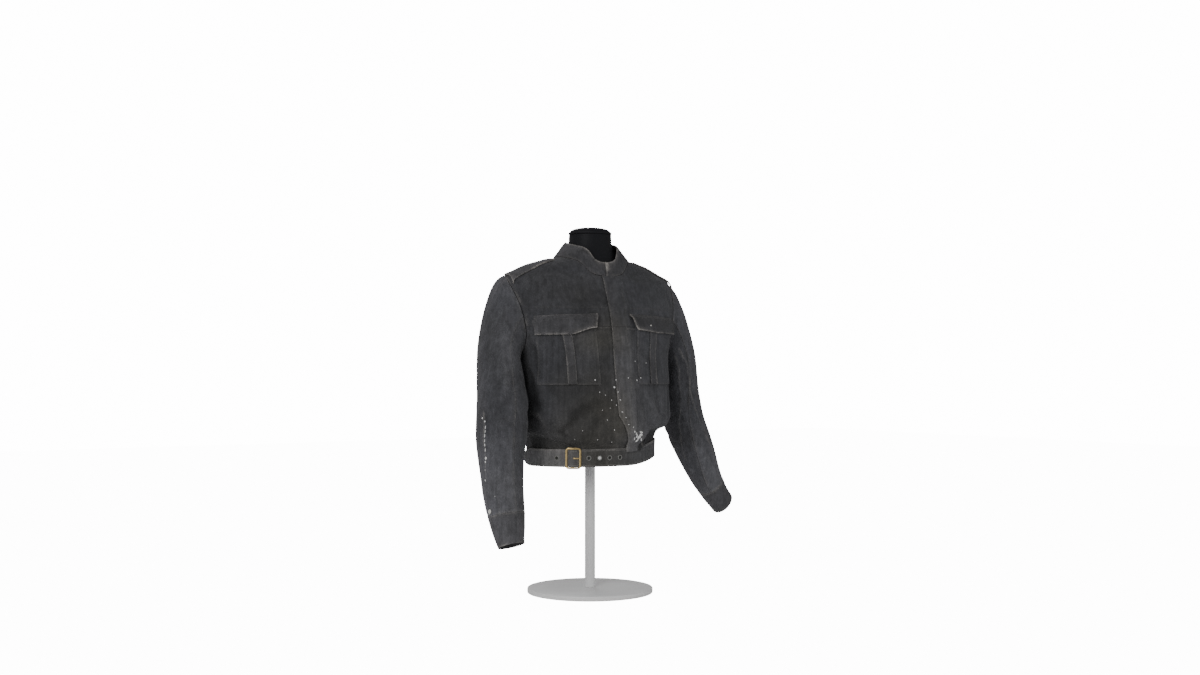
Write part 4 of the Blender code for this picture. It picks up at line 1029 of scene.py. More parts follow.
def sleeveNormal(side, angle, place):
    near, far = np.maximum(place - 0.02, 0.0), np.minimum(place + 0.02, 2.0)
    around = sleeveSurface(side, angle + 1.0, place) - sleeveSurface(side, angle - 1.0, place)
    along = sleeveSurface(side, angle, far) - sleeveSurface(side, angle, near)
    return unit(np.cross(along, around)) * -side


def sleeveLength(place):
    # metres from the armhole: the head is shorter than the tube
    place = np.asarray(place, float)
    head, tube = sleeveShape["lengths"]
    return np.where(place < 1.0, place * head, head + (place - 1.0) * tube)


def sleeveTable(side, kind):
    perDegree = sleeveShape["metresPerDegree"]
    return [
        (a * perDegree, float(sleeveLength(p)), b * perDegree, float(sleeveLength(q)), *rest)
        for a, p, b, q, *rest in sleeveShape[sleeveWords[side] + kind]
    ]


def sleeveFold(side, angle, place):
    # the creases over a sleeve, in metres along its length
    perDegree, length = sleeveShape["metresPerDegree"], sleeveLength(place)
    fold = creases(angle * perDegree, length, sleeveTable(side, "Creases"), wrap=360.0 * perDegree)
    radians = np.radians(angle)
    ring = stacked(0.05 * np.sin(radians), 0.05 * np.cos(radians), length * 0.4)
    fold = fold + 0.0012 * softNoise(ring, 0.034, 70 + side) + 0.0004 * softNoise(ring, 0.016, 73 + side)
    pucker = softNoise(ring * (1.0, 1.0, 0.3), 0.009, 76) * 0.0006
    pucker = pucker * np.exp(-place / 0.1) * ease(place / 0.03)
    return fold * ease(place / 0.16) * ease((2.0 - place) / 0.05) + pucker


def foldedSleeve(side, angle, place, out=0.0):
    fold = sleeveFold(side, angle, place)
    facing = sleeveNormal(side, angle, place)
    return sleeveSurface(side, angle, place) + facing * (fold + out)[..., None], facing, fold


def makeSleevePanel(name, side, first, last, columns):
    place = evenSteps(lambda down: sleeveSurface(side, 0.0, down), 0.005, 2.0, 200, 500)
    angle, place = gridOf(np.linspace(first, last, columns), place)
    # the under half's edges are tucked behind the top half's, as a seam's turnings are
    tucked = 0.0
    if name.startswith("cloth_sleeve_under"):
        angle = first + (angle - first) * (1.0 + 5.0 / (last - first)) - 2.5
        edge = np.minimum(angle - first, last - angle)
        tucked = -sleeveShape["tuck"] * (1.0 - ease((edge + 2.5) / 4.0))
    points, facing, fold = foldedSleeve(side, angle, place, tucked)
    across = angle * sleeveShape["metresPerDegree"]
    rubbed = lineWear(across, sleeveLength(place), sleeveTable(side, "Rubbed"))
    return addCloth(name, points, facing, sleeveShape["worn"],
                    seed=80 + columns + side, ridge=fold, rubbed=rubbed)


def makeTurnings():
    # strips of cloth behind the armhole seams and the collar's seam, which close their gaps
    wall = sleeveShape["turningWall"]
    radians, share = gridOf(np.radians(np.linspace(0.0, 360.0, 121)), np.linspace(0.88, 1.07, 6))
    for side, word in sleeveWords.items():
        angle = side * (90.0 - bodyShape["armholeSweep"] * share * np.sin(radians))
        height = armMiddle + armReach * share * np.cos(radians)
        points = bodyPoint(angle, height, -0.0029)
        addCloth("turning_armhole_" + word, points, bodyNormal(angle, height), wall=wall, seed=140)
    turn, share = gridOf(np.linspace(2.0, 358.0, 150), np.linspace(-0.12, 0.2, 6))
    addCloth("turning_collar", *collarPoint(turn, share, -0.004), wall=wall, seed=141)


def cuffPoint(side, angle, height, out=0.0):
    angle, height = together(angle, height)
    ring = sleeveTube(side, angle, height)
    facing = unit(ring - sleeveCentre(side, height))
    wave = 0.0007 * softNoise(ring, 0.02, 90 + side) * ease((cuffTop(side) - height) / 0.012)
    return ring + facing * (0.0004 + wave + out)[..., None], facing


def makeCuff(side):
    low, top = sleeveShape[sleeveWords[side]][-1][0], cuffTop(side) - bodyShape["seamGap"] / 2.0
    points, facing = cuffPoint(side, *gridOf(np.linspace(0.0, 360.0, 97), np.linspace(low, top, 26)))
    points[:, -1] = points[:, 0]
    return addCloth("cloth_cuff_" + sleeveWords[side], points, facing, sleeveShape["cuffWorn"],
                    sleeveShape["cuffWall"], "trim", closed=True, seed=92 + side)


collar = makeCollar()
sleeves = {}
for side, word in sleeveWords.items():
    gap = sleeveShape["seamGap"] / 2.0
    first, last = sleeveShape["backSeam"] + gap, sleeveShape["frontSeam"] - gap
    sleeves["top", side] = makeSleevePanel("cloth_sleeve_top_" + word, side, first, last, 84)
    first, last = last + 2 * gap, first + 360.0 - 2 * gap
    sleeves["under", side] = makeSleevePanel("cloth_sleeve_under_" + word, side, first, last, 72)
    sleeves["cuff", side] = makeCuff(side)
makeTurnings()
print("stage: collar and sleeves made")


# breast pockets, flaps and shoulder straps

pocketShape = {
    "inner": {-1: 14.0, 1: 12.3},
    "outer": (64.0, 58.5),
    "top": 0.344,
    "bottom": 0.196,
    "lift": 0.0004,
    "wall": 0.0018,
    "pleatMiddle": {-1: 34.4, 1: 26.0},
    "pleatHalfWidth": 3.4,
    "pleatWall": 0.0016,
    "worn": {"first": (0.36, 0.0016), "last": (0.3, 0.0018), "bottom": (0.42, 0.0018)},
    "pleatWorn": {"first": (0.3, 0.0014), "last": (0.7, 0.0016)},
}
flapShape = {
    "inner": {-1: (11.0, 13.8), 1: (7.6, 11.4)},
    "outer": (56.0, 59.2),
    "top": (0.361, 0.354),
    "bottom": {-1: 0.311, 1: 0.3175},
    "rise": {-1: 0.0155, 1: 0.0050},
    "lift": 0.0062,
    "wall": 0.002,
    "worn": {
        "first": (0.75, 0.0024), "last": (0.3, 0.002), "bottom": (0.2, 0.0016), "top": (0.95, 0.0022),
    },
}
epauletteShape = {
    "outerX": 0.2235,
    "innerX": 0.112,
    "halfWidths": (0.0275, 0.022),
    "sewnHalfWidth": 0.0215,
    "middleY": (-0.001, 0.001),
    "thickness": 0.003,
    "clearance": 0.0013,
    "worn": {
        "first": (0.75, 0.003), "last": (0.5, 0.0024), "bottom": (1.0, 0.004), "top": (0.4, 0.0026),
    },
}


def pocketOuter(height):
    share = (height - pocketShape["bottom"]) / (pocketShape["top"] - pocketShape["bottom"])
    return between(pocketShape["outer"], share)


def pocketPlace(side, share, height):
    # share runs from the fly side outwards; the pocket stands a little proud of its edges
    inner = pocketShape["inner"][side]
    angle, height = np.broadcast_arrays(inner + (pocketOuter(height) - inner) * share, height)
    inside = np.minimum(angle - inner, pocketOuter(height) - angle) * 0.0022
    inside = np.minimum(inside, height - pocketShape["bottom"])
    return side * angle, height, pocketShape["lift"] + 0.002 + 0.0013 * ease(inside / 0.02)


def makePocket(side):
    heights = np.linspace(pocketShape["bottom"], pocketShape["top"], 60)
    points, facing, fold = foldedBody(*pocketPlace(side, *gridOf(np.linspace(0.0, 1.0, 60), heights)))
    return addCloth("cloth_pocket_" + sleeveWords[side], points, facing, pocketShape["worn"],
                    seed=100 + side, ridge=fold)


def makePleat(side):
    low, high = pocketShape["bottom"] + 0.001, pocketShape["top"] - 0.001
    share, height = gridOf(np.linspace(-1.0, 1.0, 18), np.linspace(low, high, 60))
    angle = side * (pocketShape["pleatMiddle"][side] + share * pocketShape["pleatHalfWidth"])
    lift = 2.0 * (pocketShape["lift"] + 0.002) + 0.0013
    wave = 0.0004 * softNoise(stacked(angle * 0.003, height, share * 0.0), 0.02, 104)
    # its two folded edges stand up a little from the strip between them
    edge = 0.0007 * bell(np.abs(share), 0.86, 0.16)
    points, facing, fold = foldedBody(angle, height, lift + wave + edge)
    return addCloth("cloth_pleat_" + sleeveWords[side], points, facing, pocketShape["pleatWorn"],
                    pocketShape["pleatWall"], "trim", seed=106 + side, ridge=fold)


def flapPlace(side, u, share):
    # u runs across the flap from the fly side, and share down from its top edge
    near, far = between(flapShape["inner"][side], share), between(flapShape["outer"], share)
    angle = side * between((near, far), u)
    top = between(flapShape["top"], u)
    bottom = flapShape["bottom"][side] + flapShape["rise"][side] * (1.0 - ease(u / 0.42))
    height = between((top, bottom), share)
    lift = between((pocketShape["lift"], flapShape["lift"]), ease(share / 0.24))
    lift = lift + frontLift(side, bodyX(angle, height), height)
    curl = 0.0030 * np.clip((share - 0.62) / 0.38, 0.0, 1.0) ** 2
    uneven = 0.9 * softNoise(stacked(u * 0.13, share * 0.02, u * 0.0 + side), 0.03, 110)
    curl = curl * np.clip(0.35 + uneven + 0.6 * np.exp(-u / 0.18), 0.0, 1.6)
    return angle, height, lift + curl + 0.002 + 0.0010 * ease(share / 0.4), curl


def makeFlap(side):
    angle, height, lift, curl = flapPlace(side, *gridOf(np.linspace(0.0, 1.0, 70), np.linspace(0.0, 1.0, 26)))
    points, facing, fold = foldedBody(angle, height, lift)
    return addCloth("cloth_flap_" + sleeveWords[side], points, facing, flapShape["worn"], flapShape["wall"],
                    "trim", seed=112 + side, ridge=fold + curl)


def epaulettePoint(side, share, across, out=0.0):
    # share runs from the sleeve head to the collar
    wide, narrow = epauletteShape["halfWidths"]
    x = side * between((epauletteShape["outerX"], epauletteShape["innerX"]), share)
    sewn = (wide - epauletteShape["sewnHalfWidth"]) * (1.0 - ease(share / 0.16))
    y = between(epauletteShape["middleY"], share) + across * (wide + share * (narrow - wide) - sewn)
    wave = 0.0006 * np.abs(softNoise(stacked(x, y, 0.0), 0.02, 120))
    lift = epauletteShape["clearance"] + epauletteShape["thickness"] + wave + out
    step = 0.002
    along = topSurface(x + step, y) - topSurface(x - step, y)
    aside = topSurface(x, y + step) - topSurface(x, y - step)
    normal = unit(np.cross(along, aside))
    return topSurface(x, y) + normal * lift[..., None], normal


def makeEpaulette(side):
    across, share = gridOf(np.linspace(-1.0, 1.0, 26), np.linspace(0.0, 1.0, 50))
    points, facing = epaulettePoint(side, share, across)
    return addCloth("cloth_epaulette_" + sleeveWords[side], points, facing, epauletteShape["worn"],
                    epauletteShape["thickness"], "trim", seed=122 + side)


pockets, pleats, flaps, epaulettes = {}, {}, {}, {}
for side in (-1, 1):
    pockets[side], pleats[side] = makePocket(side), makePleat(side)
    flaps[side], epaulettes[side] = makeFlap(side), makeEpaulette(side)
print("stage: pockets, flaps and shoulder straps made")


# waistband, belt and buckle

beltShape = {
    "bandFirst": 8.0,
    "bandLast": 322.0,
    "fixedEnd": 88.0,
    "tip": -100.0,
    "tipLength": 0.036,
    "width": 0.0415,
    "thickness": 0.0023,
    "buckleAngle": -41.0,
    "eyelets": (0.0, -8.3, -17.0, -26.7, -57.7),
    "eyeletRadius": 0.0048,
    "worn": {"top": (0.8, 0.002), "bottom": (0.7, 0.002), "last": (1.1, 0.005)},
    "bandWall": 0.0022,
    "bandWorn": {"top": (0.3, 0.0016), "bottom": (0.45, 0.0018)},
}


def beltOut(angle):
    lift = 0.0042 * np.exp(-(((angle - beltShape["buckleAngle"]) / 9.0) ** 2))
    tip = 0.010 * ease((-angle - 74.0) / 30.0)
    return 0.0029 + lift + tip


def makeWaistband():
    angle, height = gridOf(np.linspace(beltShape["bandFirst"], beltShape["bandLast"], 240),
                           np.linspace(0.0, bodyShape["bandHeight"], 16))
    wave = -0.0003 + 0.0003 * softNoise(bodyPoint(angle, height), 0.02, 130)
    # it lies in deep shade behind the belt's free tip
    shade = 1.0 - 0.86 * bell(angle, 252.0, 26.0)
    return addCloth("cloth_waistband", bodyPoint(angle, height, wave), bodyNormal(angle, height),
                    beltShape["bandWorn"], beltShape["bandWall"], "band", seed=131, shade=shade)


def beltPoint(turn, share, out=0.0):
    # share runs up the belt; near the free tip its edges close in to a round end
    left = np.radians(turn - beltShape["tip"]) * 0.150 / beltShape["tipLength"]
    half = np.sqrt(np.maximum(1.0 - (1.0 - np.minimum(left, 1.0)) ** 2, 0.03))
    height = bodyShape["bandHeight"] / 2.0 + (share - 0.5) * beltShape["width"] * half
    wave = 0.0004 * softNoise(bodyPoint(turn, height, 0.003), 0.018, 133) + 0.0003
    return bodyPoint(turn, height, beltOut(turn) + wave + out), height


def makeBelt():
    turn, share = gridOf(np.linspace(beltShape["fixedEnd"], beltShape["tip"], 230), np.linspace(0.0, 1.0, 18))
    points, height = beltPoint(turn, share)
    # it is palest towards its free tip
    return addCloth("cloth_belt", points, bodyNormal(turn, height), beltShape["worn"], beltShape["thickness"],
                    "band", seed=134, shade=1.0 + 1.3 * ease((-turn - 15.0) / 60.0))


waistband = makeWaistband()
belt = makeBelt()


def copyNode(node, name, bevel):
    # a finer copy of a small hard node: merged, rounded and given its finish
    piece = frame["nodes"][node].copy()
    piece.data = piece.data.copy()
    piece.parent = None
    for key in [key for key in piece.keys() if key.startswith("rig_")]:
        del piece[key]
    piece.name = name
    bpy.context.scene.collection.objects.link(piece)
    inEditMode(piece, (bpy.ops.mesh.remove_doubles, {"threshold": 0.00001}),
               (bpy.ops.mesh.dissolve_limited, {"angle_limit": math.radians(2.0)}))
    addModifier(piece, "BEVEL", width=bevel, segments=2, limit_method="ANGLE",
                angle_limit=math.radians(28.0), use_clamp_overlap=True)
    return finishPiece(piece, "brass", node, smooth=40.0)


buckle = copyNode("belt_buckle", "brass_buckle", 0.0005)
# its frame is a little less tall than the solid's
centre = sum((vertex.co for vertex in buckle.data.vertices), Vector()) / len(buckle.data.vertices)
lower = Matrix.Diagonal((1.0, 1.0, 0.94, 1.0))
buckle.data.transform(Matrix.Translation(centre) @ lower @ Matrix.Translation(-centre))
copyNode("buckle_prong", "brass_prong", 0.0003)
print("stage: waistband, belt and buckle made")


# eyelets, buttons, stitches, loose threads and paint
smallShape = {
    "eyeletWire": (0.0012, 0.0007),
    "holeRadius": 0.0037,
    "paintedEyelet": 2,
    "buttonPlace": (5.0, -0.082),
    "buttonRadius": 0.0048,
    "buttonThickness": 0.0026,
    "studPlace": (22.2, 0.334),
    "studRadius": 0.0019,
    "stitchPitch": 0.0038,
    "stitchHalf": (0.0013, 0.00026, 0.00022),
    "threadRadius": 0.00016,
    "paintThickness": 0.00035,
    # paint on the blouse: angle, height, how long, how wide, turn in degrees
    "daubs": [
        (6.4, 0.0815, 0.003, 0.0016, 20), (9.0, 0.07, 0.0056, 0.0042, 40),
        (10.8, 0.066, 0.0052, 0.0034, -35), (12.4, 0.078, 0.0056, 0.0022, 75),
        (12.6, 0.072, 0.0046, 0.003, 80), (10.0, 0.06, 0.005, 0.0026, -50),
        (13.6, 0.061, 0.0046, 0.0019, 25), (7.4, 0.064, 0.0038, 0.0018, 10),
        (8.0, 0.076, 0.0034, 0.0026, -20), (11.8, 0.069, 0.005, 0.0026, 12),
        (-3.8, 0.2065, 0.0016, 0.0012, 0), (-4.8, 0.19, 0.0026, 0.0022, 30),
        (-3.2, 0.1785, 0.0014, 0.001, 0), (-2.2, 0.1605, 0.0018, 0.0013, 60),
        (-4.4, 0.149, 0.0016, 0.001, 20), (-1.4, 0.132, 0.002, 0.0012, 70),
        (-15.2, 0.179, 0.0013, 0.001, 0), (-11.4, 0.172, 0.0012, 0.001, 0),
        (-7.4, 0.1605, 0.0014, 0.0011, 45), (-14.0, 0.1375, 0.0012, 0.0009, 0),
        (-10.8, 0.113, 0.0013, 0.0009, 0), (-6.0, 0.087, 0.0018, 0.001, 15),
        (-17.4, 0.0635, 0.0012, 0.0009, 0), (-6.8, 0.056, 0.0014, 0.001, 0),
        (-34.4, 0.0645, 0.001, 0.0008, 0), (-28.2, 0.086, 0.001, 0.0008, 0),
        (10.8, 0.206, 0.0022, 0.0016, 0), (13.6, 0.211, 0.0018, 0.0014, 40),
        (3.6, 0.211, 0.0014, 0.0012, 0), (-18.0, 0.2065, 0.0018, 0.0016, 0),
        (10.4, 0.2505, 0.0012, 0.001, 0), (19.2, 0.246, 0.0012, 0.001, 0),
        (0.4, 0.118, 0.0016, 0.001, 70), (2.0, 0.1, 0.0018, 0.0011, 80),
        (5.2, 0.093, 0.0014, 0.001, 0), (-8.6, 0.142, 0.001, 0.0008, 0),
    ],
    # paint on the wearer's right sleeve: angle, place, how long, how wide
    "drips": [
        (15.0, 1.395, 0.0024, 0.0019), (21.5, 1.417, 0.0022, 0.0017), (23.5, 1.452, 0.004, 0.0009),
        (23.0, 1.478, 0.0036, 0.0008), (22.0, 1.505, 0.0042, 0.001), (21.0, 1.535, 0.0036, 0.0009),
        (20.0, 1.56, 0.0034, 0.0011), (19.4, 1.588, 0.004, 0.001), (18.0, 1.633, 0.0036, 0.0026),
        (16.0, 1.655, 0.0026, 0.0014), (7.0, 1.77, 0.0026, 0.0016), (12.0, 1.705, 0.0014, 0.0009),
        (-6.0, 1.985, 0.002, 0.0014), (30.0, 1.88, 0.001, 0.0008),
    ],
}
upwards = Vector((0.0, 0.0, 1.0))


def frameAt(point, outward, ahead, sizes):
    # a matrix that lays a unit shape on a surface, its length along the way ahead
    outward = Vector(outward).normalized()
    ahead = Vector(ahead)
    ahead = (ahead - outward * ahead.dot(outward)).normalized()
    aside = outward.cross(ahead)
    axes = [axis * size for axis, size in zip((ahead, aside, outward), sizes)]
    matrix = Matrix.Identity(4)
    for column, axis in enumerate((*axes, Vector(point))):
        for row in range(3):
            matrix[row][column] = axis[row]
    return matrix

def makeUnit(segments, rings, finish):
    selectOnly()
    bpy.ops.mesh.primitive_uv_sphere_add(segments=segments, ring_count=rings, radius=1.0)
    unitPiece = bpy.context.object
    bpy.ops.object.shade_smooth()
    unitPiece.data.materials.append(finishes[finish])
    return unitPiece


def placeUnit(name, segments, rings, finish, matrix):
    piece = makeUnit(segments, rings, finish)
    piece.name = name
    piece.data.transform(matrix)
    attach(piece, "root")


def copyUnit(unitPiece, name, matrices):
    # each copy has its own mesh, and the copies are joined into one piece
    selectOnly()
    for matrix in matrices:
        copied = unitPiece.copy()
        copied.data = unitPiece.data.copy()
        copied.data.transform(matrix)
        bpy.context.scene.collection.objects.link(copied)
        copied.select_set(True)
    bpy.context.view_layer.objects.active = copied
    bpy.ops.object.join()
    piece = bpy.context.object
    piece.name = piece.data.name = name
    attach(piece, "root")
    return piece


def seamStitches(points, facing):
    # stitches at even steps along a line on the cloth
    pitch, half = smallShape["stitchPitch"], smallShape["stitchHalf"]
    points, facing = np.reshape(points, (-1, 3)), np.reshape(facing, (-1, 3))
    length = arcAlong(points, 0)
    at = np.arange(pitch / 2.0, length[-1], pitch)
    pick = [np.interp(at, length, points[:, axis]) for axis in range(3)]
    normals = [np.interp(at, length, facing[:, axis]) for axis in range(3)]
    ahead = [np.interp(at, length, np.gradient(points[:, axis])) for axis in range(3)]
    return [frameAt(p, n, a, half) for p, n, a in zip(zip(*pick), zip(*normals), zip(*ahead))]


def sampleKeys(keys, count=80):
    # even samples along a short list of places
    keys = np.array(keys, float)
    steps = np.linspace(0.0, len(keys) - 1.0, count)
    return [np.interp(steps, np.arange(len(keys)), keys[:, axis]) for axis in range(2)]


def onBody(side, angle, height):
    return foldedBody(angle, height, 0.0002 + frontLift(side, bodyX(angle, height), height))


def onPocket(side, share, height):
    angle, height, lift = pocketPlace(side, share, height)
    return foldedBody(angle, height, lift + 0.0002)


def onFlap(side, u, share, out=0.0002):
    angle, height, lift, _ = flapPlace(side, u, share)
    return foldedBody(angle, height, lift + out)


def onSleeve(side, angle, place, out=0.0002):
    return foldedSleeve(side, angle, place, out)


def seam(surface, side, *keys):
    # stitches along a line through a few places on a surface
    return seamStitches(*surface(side, *sampleKeys(keys))[:2])


def makeStitches():
    stitch = makeUnit(6, 4, "thread")
    shoulder, yoke = bodyShape["shoulder"], bodyShape["yokeSeam"]
    low, high = pocketShape["bottom"] + 0.003, pocketShape["top"] - 0.03
    front, behind = sleeveShape["frontSeam"] - 3.2, sleeveShape["backSeam"] + 3.2
    for side, word in sleeveWords.items():
        armhole = [(float(sideEdge(side, h)) - side * 2.4, h) for h in np.linspace(yoke, shoulder - 0.004, 9)]
        rows = seam(onBody, side, *armhole)
        rows += seam(onBody, side, (side * 53.5, 0.374), (side * (2.0 if side < 0 else 9.0), 0.376))
        fly = side * (4.2 if side < 0 else 12.0)
        rows += seam(onBody, side, (side * 20.0, yoke + 0.002), (fly, yoke + 0.002))
        copyUnit(stitch, "stitches_yoke_" + word, rows)
        rows = seam(onPocket, side, (0.03, high), (0.03, low))
        rows += seam(onPocket, side, (0.03, low), (0.97, low))
        rows += seam(onPocket, side, (0.97, low), (0.97, high))
        copyUnit(stitch, "stitches_pocket_" + word, rows)
        rows = seam(onFlap, side, (0.01, 0.07), (0.99, 0.07)) + seam(onFlap, side, (0.01, 0.2), (0.99, 0.2))
        rows += seam(onFlap, side, (0.035, 0.24), (0.035, 0.9), (0.3, 0.9), (0.6, 0.9),
                     (0.97, 0.9), (0.97, 0.24))
        copyUnit(stitch, "stitches_flap_" + word, rows)
        share = np.linspace(0.02, 0.98, 60)
        rows = []
        for across in (-0.86, 0.86):
            rows += seamStitches(*epaulettePoint(side, share, np.full(60, across), 0.0002))
        rows += seamStitches(*epaulettePoint(side, np.full(30, 0.95), np.linspace(-0.8, 0.8, 30), 0.0002))
        copyUnit(stitch, "stitches_epaulette_" + word, rows)
        rows = seam(onSleeve, side, (front, 0.3), (front, 1.99))
        rows += seam(onSleeve, side, (behind, 0.3), (behind, 1.99))
        rows += seam(onSleeve, side, (behind, 1.975), (front, 1.975))
        copyUnit(stitch, "stitches_sleeve_" + word, rows)
        rows = []
        for height in (cuffTop(side) - 0.004, sleeveShape[word][-1][0] + 0.005):
            rows += seamStitches(*cuffPoint(side, np.linspace(0.0, 360.0, 120), height, 0.0002))
        copyUnit(stitch, "stitches_cuff_" + word, rows)
    rows = seam(onBody, 1, (5.6, 0.435), (5.6, 0.4115), (4.4, 0.3235), (6.0, 0.2295), (3.8, 0.137),
                (4.6, 0.1))
    rows += seam(onBody, 1, (4.6, 0.086), (12.4, 0.084), (15.0, 0.056), (20.5, 0.043))
    heights = np.linspace(0.045, 0.43, 24)
    rows += seam(onBody, 1, *((float(angleAt(frontEdgeX(1, h) + 0.004, h)), h) for h in heights))
    copyUnit(stitch, "stitches_fly", rows)
    turn = collarTurns(160)[2:-2]
    rows = []
    for share in (0.1, 0.9):
        rows += seamStitches(*collarFace(turn, np.full(turn.shape, share), 0.0002)[:2])
    copyUnit(stitch, "stitches_collar", rows)
    turn = np.linspace(beltShape["fixedEnd"] - 2.0, beltShape["tip"] + 7.0, 160)
    rows = []
    for share in (0.1, 0.9):
        points, height = beltPoint(turn, np.full(turn.shape, share), 0.0002)
        rows += seamStitches(points, bodyNormal(turn, height))
    turn = np.linspace(92.0, 255.0, 160)
    for height in (0.004, bodyShape["bandHeight"] - 0.004):
        rows += seamStitches(bodyPoint(turn, height, 0.0004), bodyNormal(turn, np.full(turn.shape, height)))
    copyUnit(stitch, "stitches_belt", rows).data.materials[0] = finishes["fray"]
    bpy.data.objects.remove(stitch, do_unlink=True)


def makeLanding():
    # a tree of every cloth face, to set small things down on
    corners, faces, start = [], [], 0
    for piece in bpy.data.objects:
        if piece.name.startswith("cloth_"):
            corners += [vertex.co for vertex in piece.data.vertices]
            faces += [[start + index for index in polygon.vertices] for polygon in piece.data.polygons]
            start = len(corners)
    return BVHTree.FromPolygons(corners, faces)


def landOn(landing, point, outward):
    outward = Vector(outward).normalized()
    hit, normal, _, _ = landing.ray_cast(Vector(point) + outward * 0.03, -outward, 0.06)
    if hit is None:
        return Vector(point), outward
    return hit, normal if normal.dot(outward) > 0.0 else -normal


def makePaint(landing):
    daub = makeUnit(14, 8, "paint")
    places = []
    for angle, height, long, wide, turned in smallShape["daubs"]:
        angle, height = np.float64(angle), np.float64(height)
        hit, normal = landOn(landing, bodyPoint(angle, height), bodyNormal(angle, height))
        ahead = Matrix.Rotation(math.radians(turned), 3, normal) @ upwards
        places.append(frameAt(hit, normal, ahead, (long, wide, smallShape["paintThickness"])))
    copyUnit(daub, "paint_front", places)
    places = []
    for angle, place, long, wide in smallShape["drips"]:
        hit, normal = landOn(landing, *onSleeve(-1, np.float64(angle), np.float64(place), 0.0)[:2])
        places.append(frameAt(hit, normal, upwards, (long, wide, smallShape["paintThickness"])))
    copyUnit(daub, "paint_sleeve", places)
    bpy.data.objects.remove(daub, do_unlink=True)


def makeFray():
    # short loose threads along the most worn edges: places, facings, lean and greatest length
    thread = makeUnit(5, 4, "fray")
    rng = np.random.default_rng(7)
    lines = []
    turn = np.full(40, collarShape["lap"][0] + 0.4)
    lines.append((*collarFace(turn, rng.uniform(0.0, 1.0, 40))[:2], (-0.6, -0.2, 0.1), 0.0034))
    turn = rng.uniform(-1.0, 120.0, 60)
    lines.append((*collarFace(turn, np.full(60, 0.995))[:2], (0.0, 0.0, 1.0), 0.0012))
    height = rng.uniform(0.1, 0.44, 80)
    angle = angleAt(frontEdgeX(1, height) + 0.0003, height)
    lift = frontLift(1, bodyX(angle, height), height) - 0.0004
    lines.append((*foldedBody(angle, height, lift)[:2], (-1.0, -0.1, -0.2), 0.0018))
    for side in (-1, 1):
        across = rng.uniform(-1.0, 0.2, 40)
        lines.append((*epaulettePoint(side, np.zeros(40), across), (side * 0.8, -0.3, -0.2), 0.003))
        points, facing, _ = onSleeve(side, rng.uniform(10.0, 75.0, 36), np.full(36, 0.012), 0.0)
        lines.append((points, facing, (side * 0.3, -0.3, 0.5), 0.0022))
        points, facing, _ = onSleeve(side, rng.uniform(-60.0, 90.0, 50), np.full(50, 1.992), 0.0)
        lines.append((points, facing, (0.0, -0.1, -1.0), 0.0018))
        points, facing, _ = onFlap(side, rng.uniform(0.0, 0.45, 40), np.full(40, 0.995), -0.0003)
        lines.append((points, facing, (0.0, -0.2, -1.0), 0.0016))
    places = []
    thin = smallShape["threadRadius"]
    for points, facing, lean, longest in lines:
        for point, outward in zip(points, facing):
            ahead = Vector(lean) + Vector(rng.normal(0.0, 0.45, 3)) + Vector(outward) * 0.3
            long = longest * rng.uniform(0.35, 1.0) / 2.0
            ahead.normalize()
            start = Vector(point) + ahead * long * 0.9
            side = ahead.cross(Vector(outward))
            outward = side.cross(ahead) if side.length > 0.1 else ahead.orthogonal()
            places.append(frameAt(start, outward, ahead, (long, thin, thin)))
    copyUnit(thread, "loose_threads", places)
    bpy.data.objects.remove(thread, do_unlink=True)


def makeEyelets():
    wide, tall = smallShape["eyeletWire"]
    radius, middle = smallShape["holeRadius"], bodyShape["bandHeight"] / 2.0
    for number, angle in enumerate(beltShape["eyelets"]):
        outward = Vector(bodyNormal(np.float64(angle), np.float64(middle)))
        centre = Vector(beltPoint(np.float64(angle), np.float64(0.5), 0.0002)[0])
        selectOnly()
        bpy.ops.mesh.primitive_torus_add(
            major_segments=36, minor_segments=10, major_radius=beltShape["eyeletRadius"], minor_radius=wide
        )
        ring = bpy.context.object
        ring.name = "metal_eyelet_%d" % (number + 1)
        ring.data.transform(frameAt(centre, outward, upwards, (1.0, 1.0, tall / wide)))
        bpy.ops.object.shade_smooth()
        finishPiece(ring, "eyelet", "eyelet_%d" % (number + 1))
        filled = number == smallShape["paintedEyelet"]
        lying = frameAt(centre, outward, upwards, (radius, radius, 0.0009 if filled else 0.0003))
        # each unpainted eyelet gets a dark disc: painted shade in its hole
        placeUnit("eyelet_hole_%d" % (number + 1), 20, 8, "paint" if filled else "hole", lying)


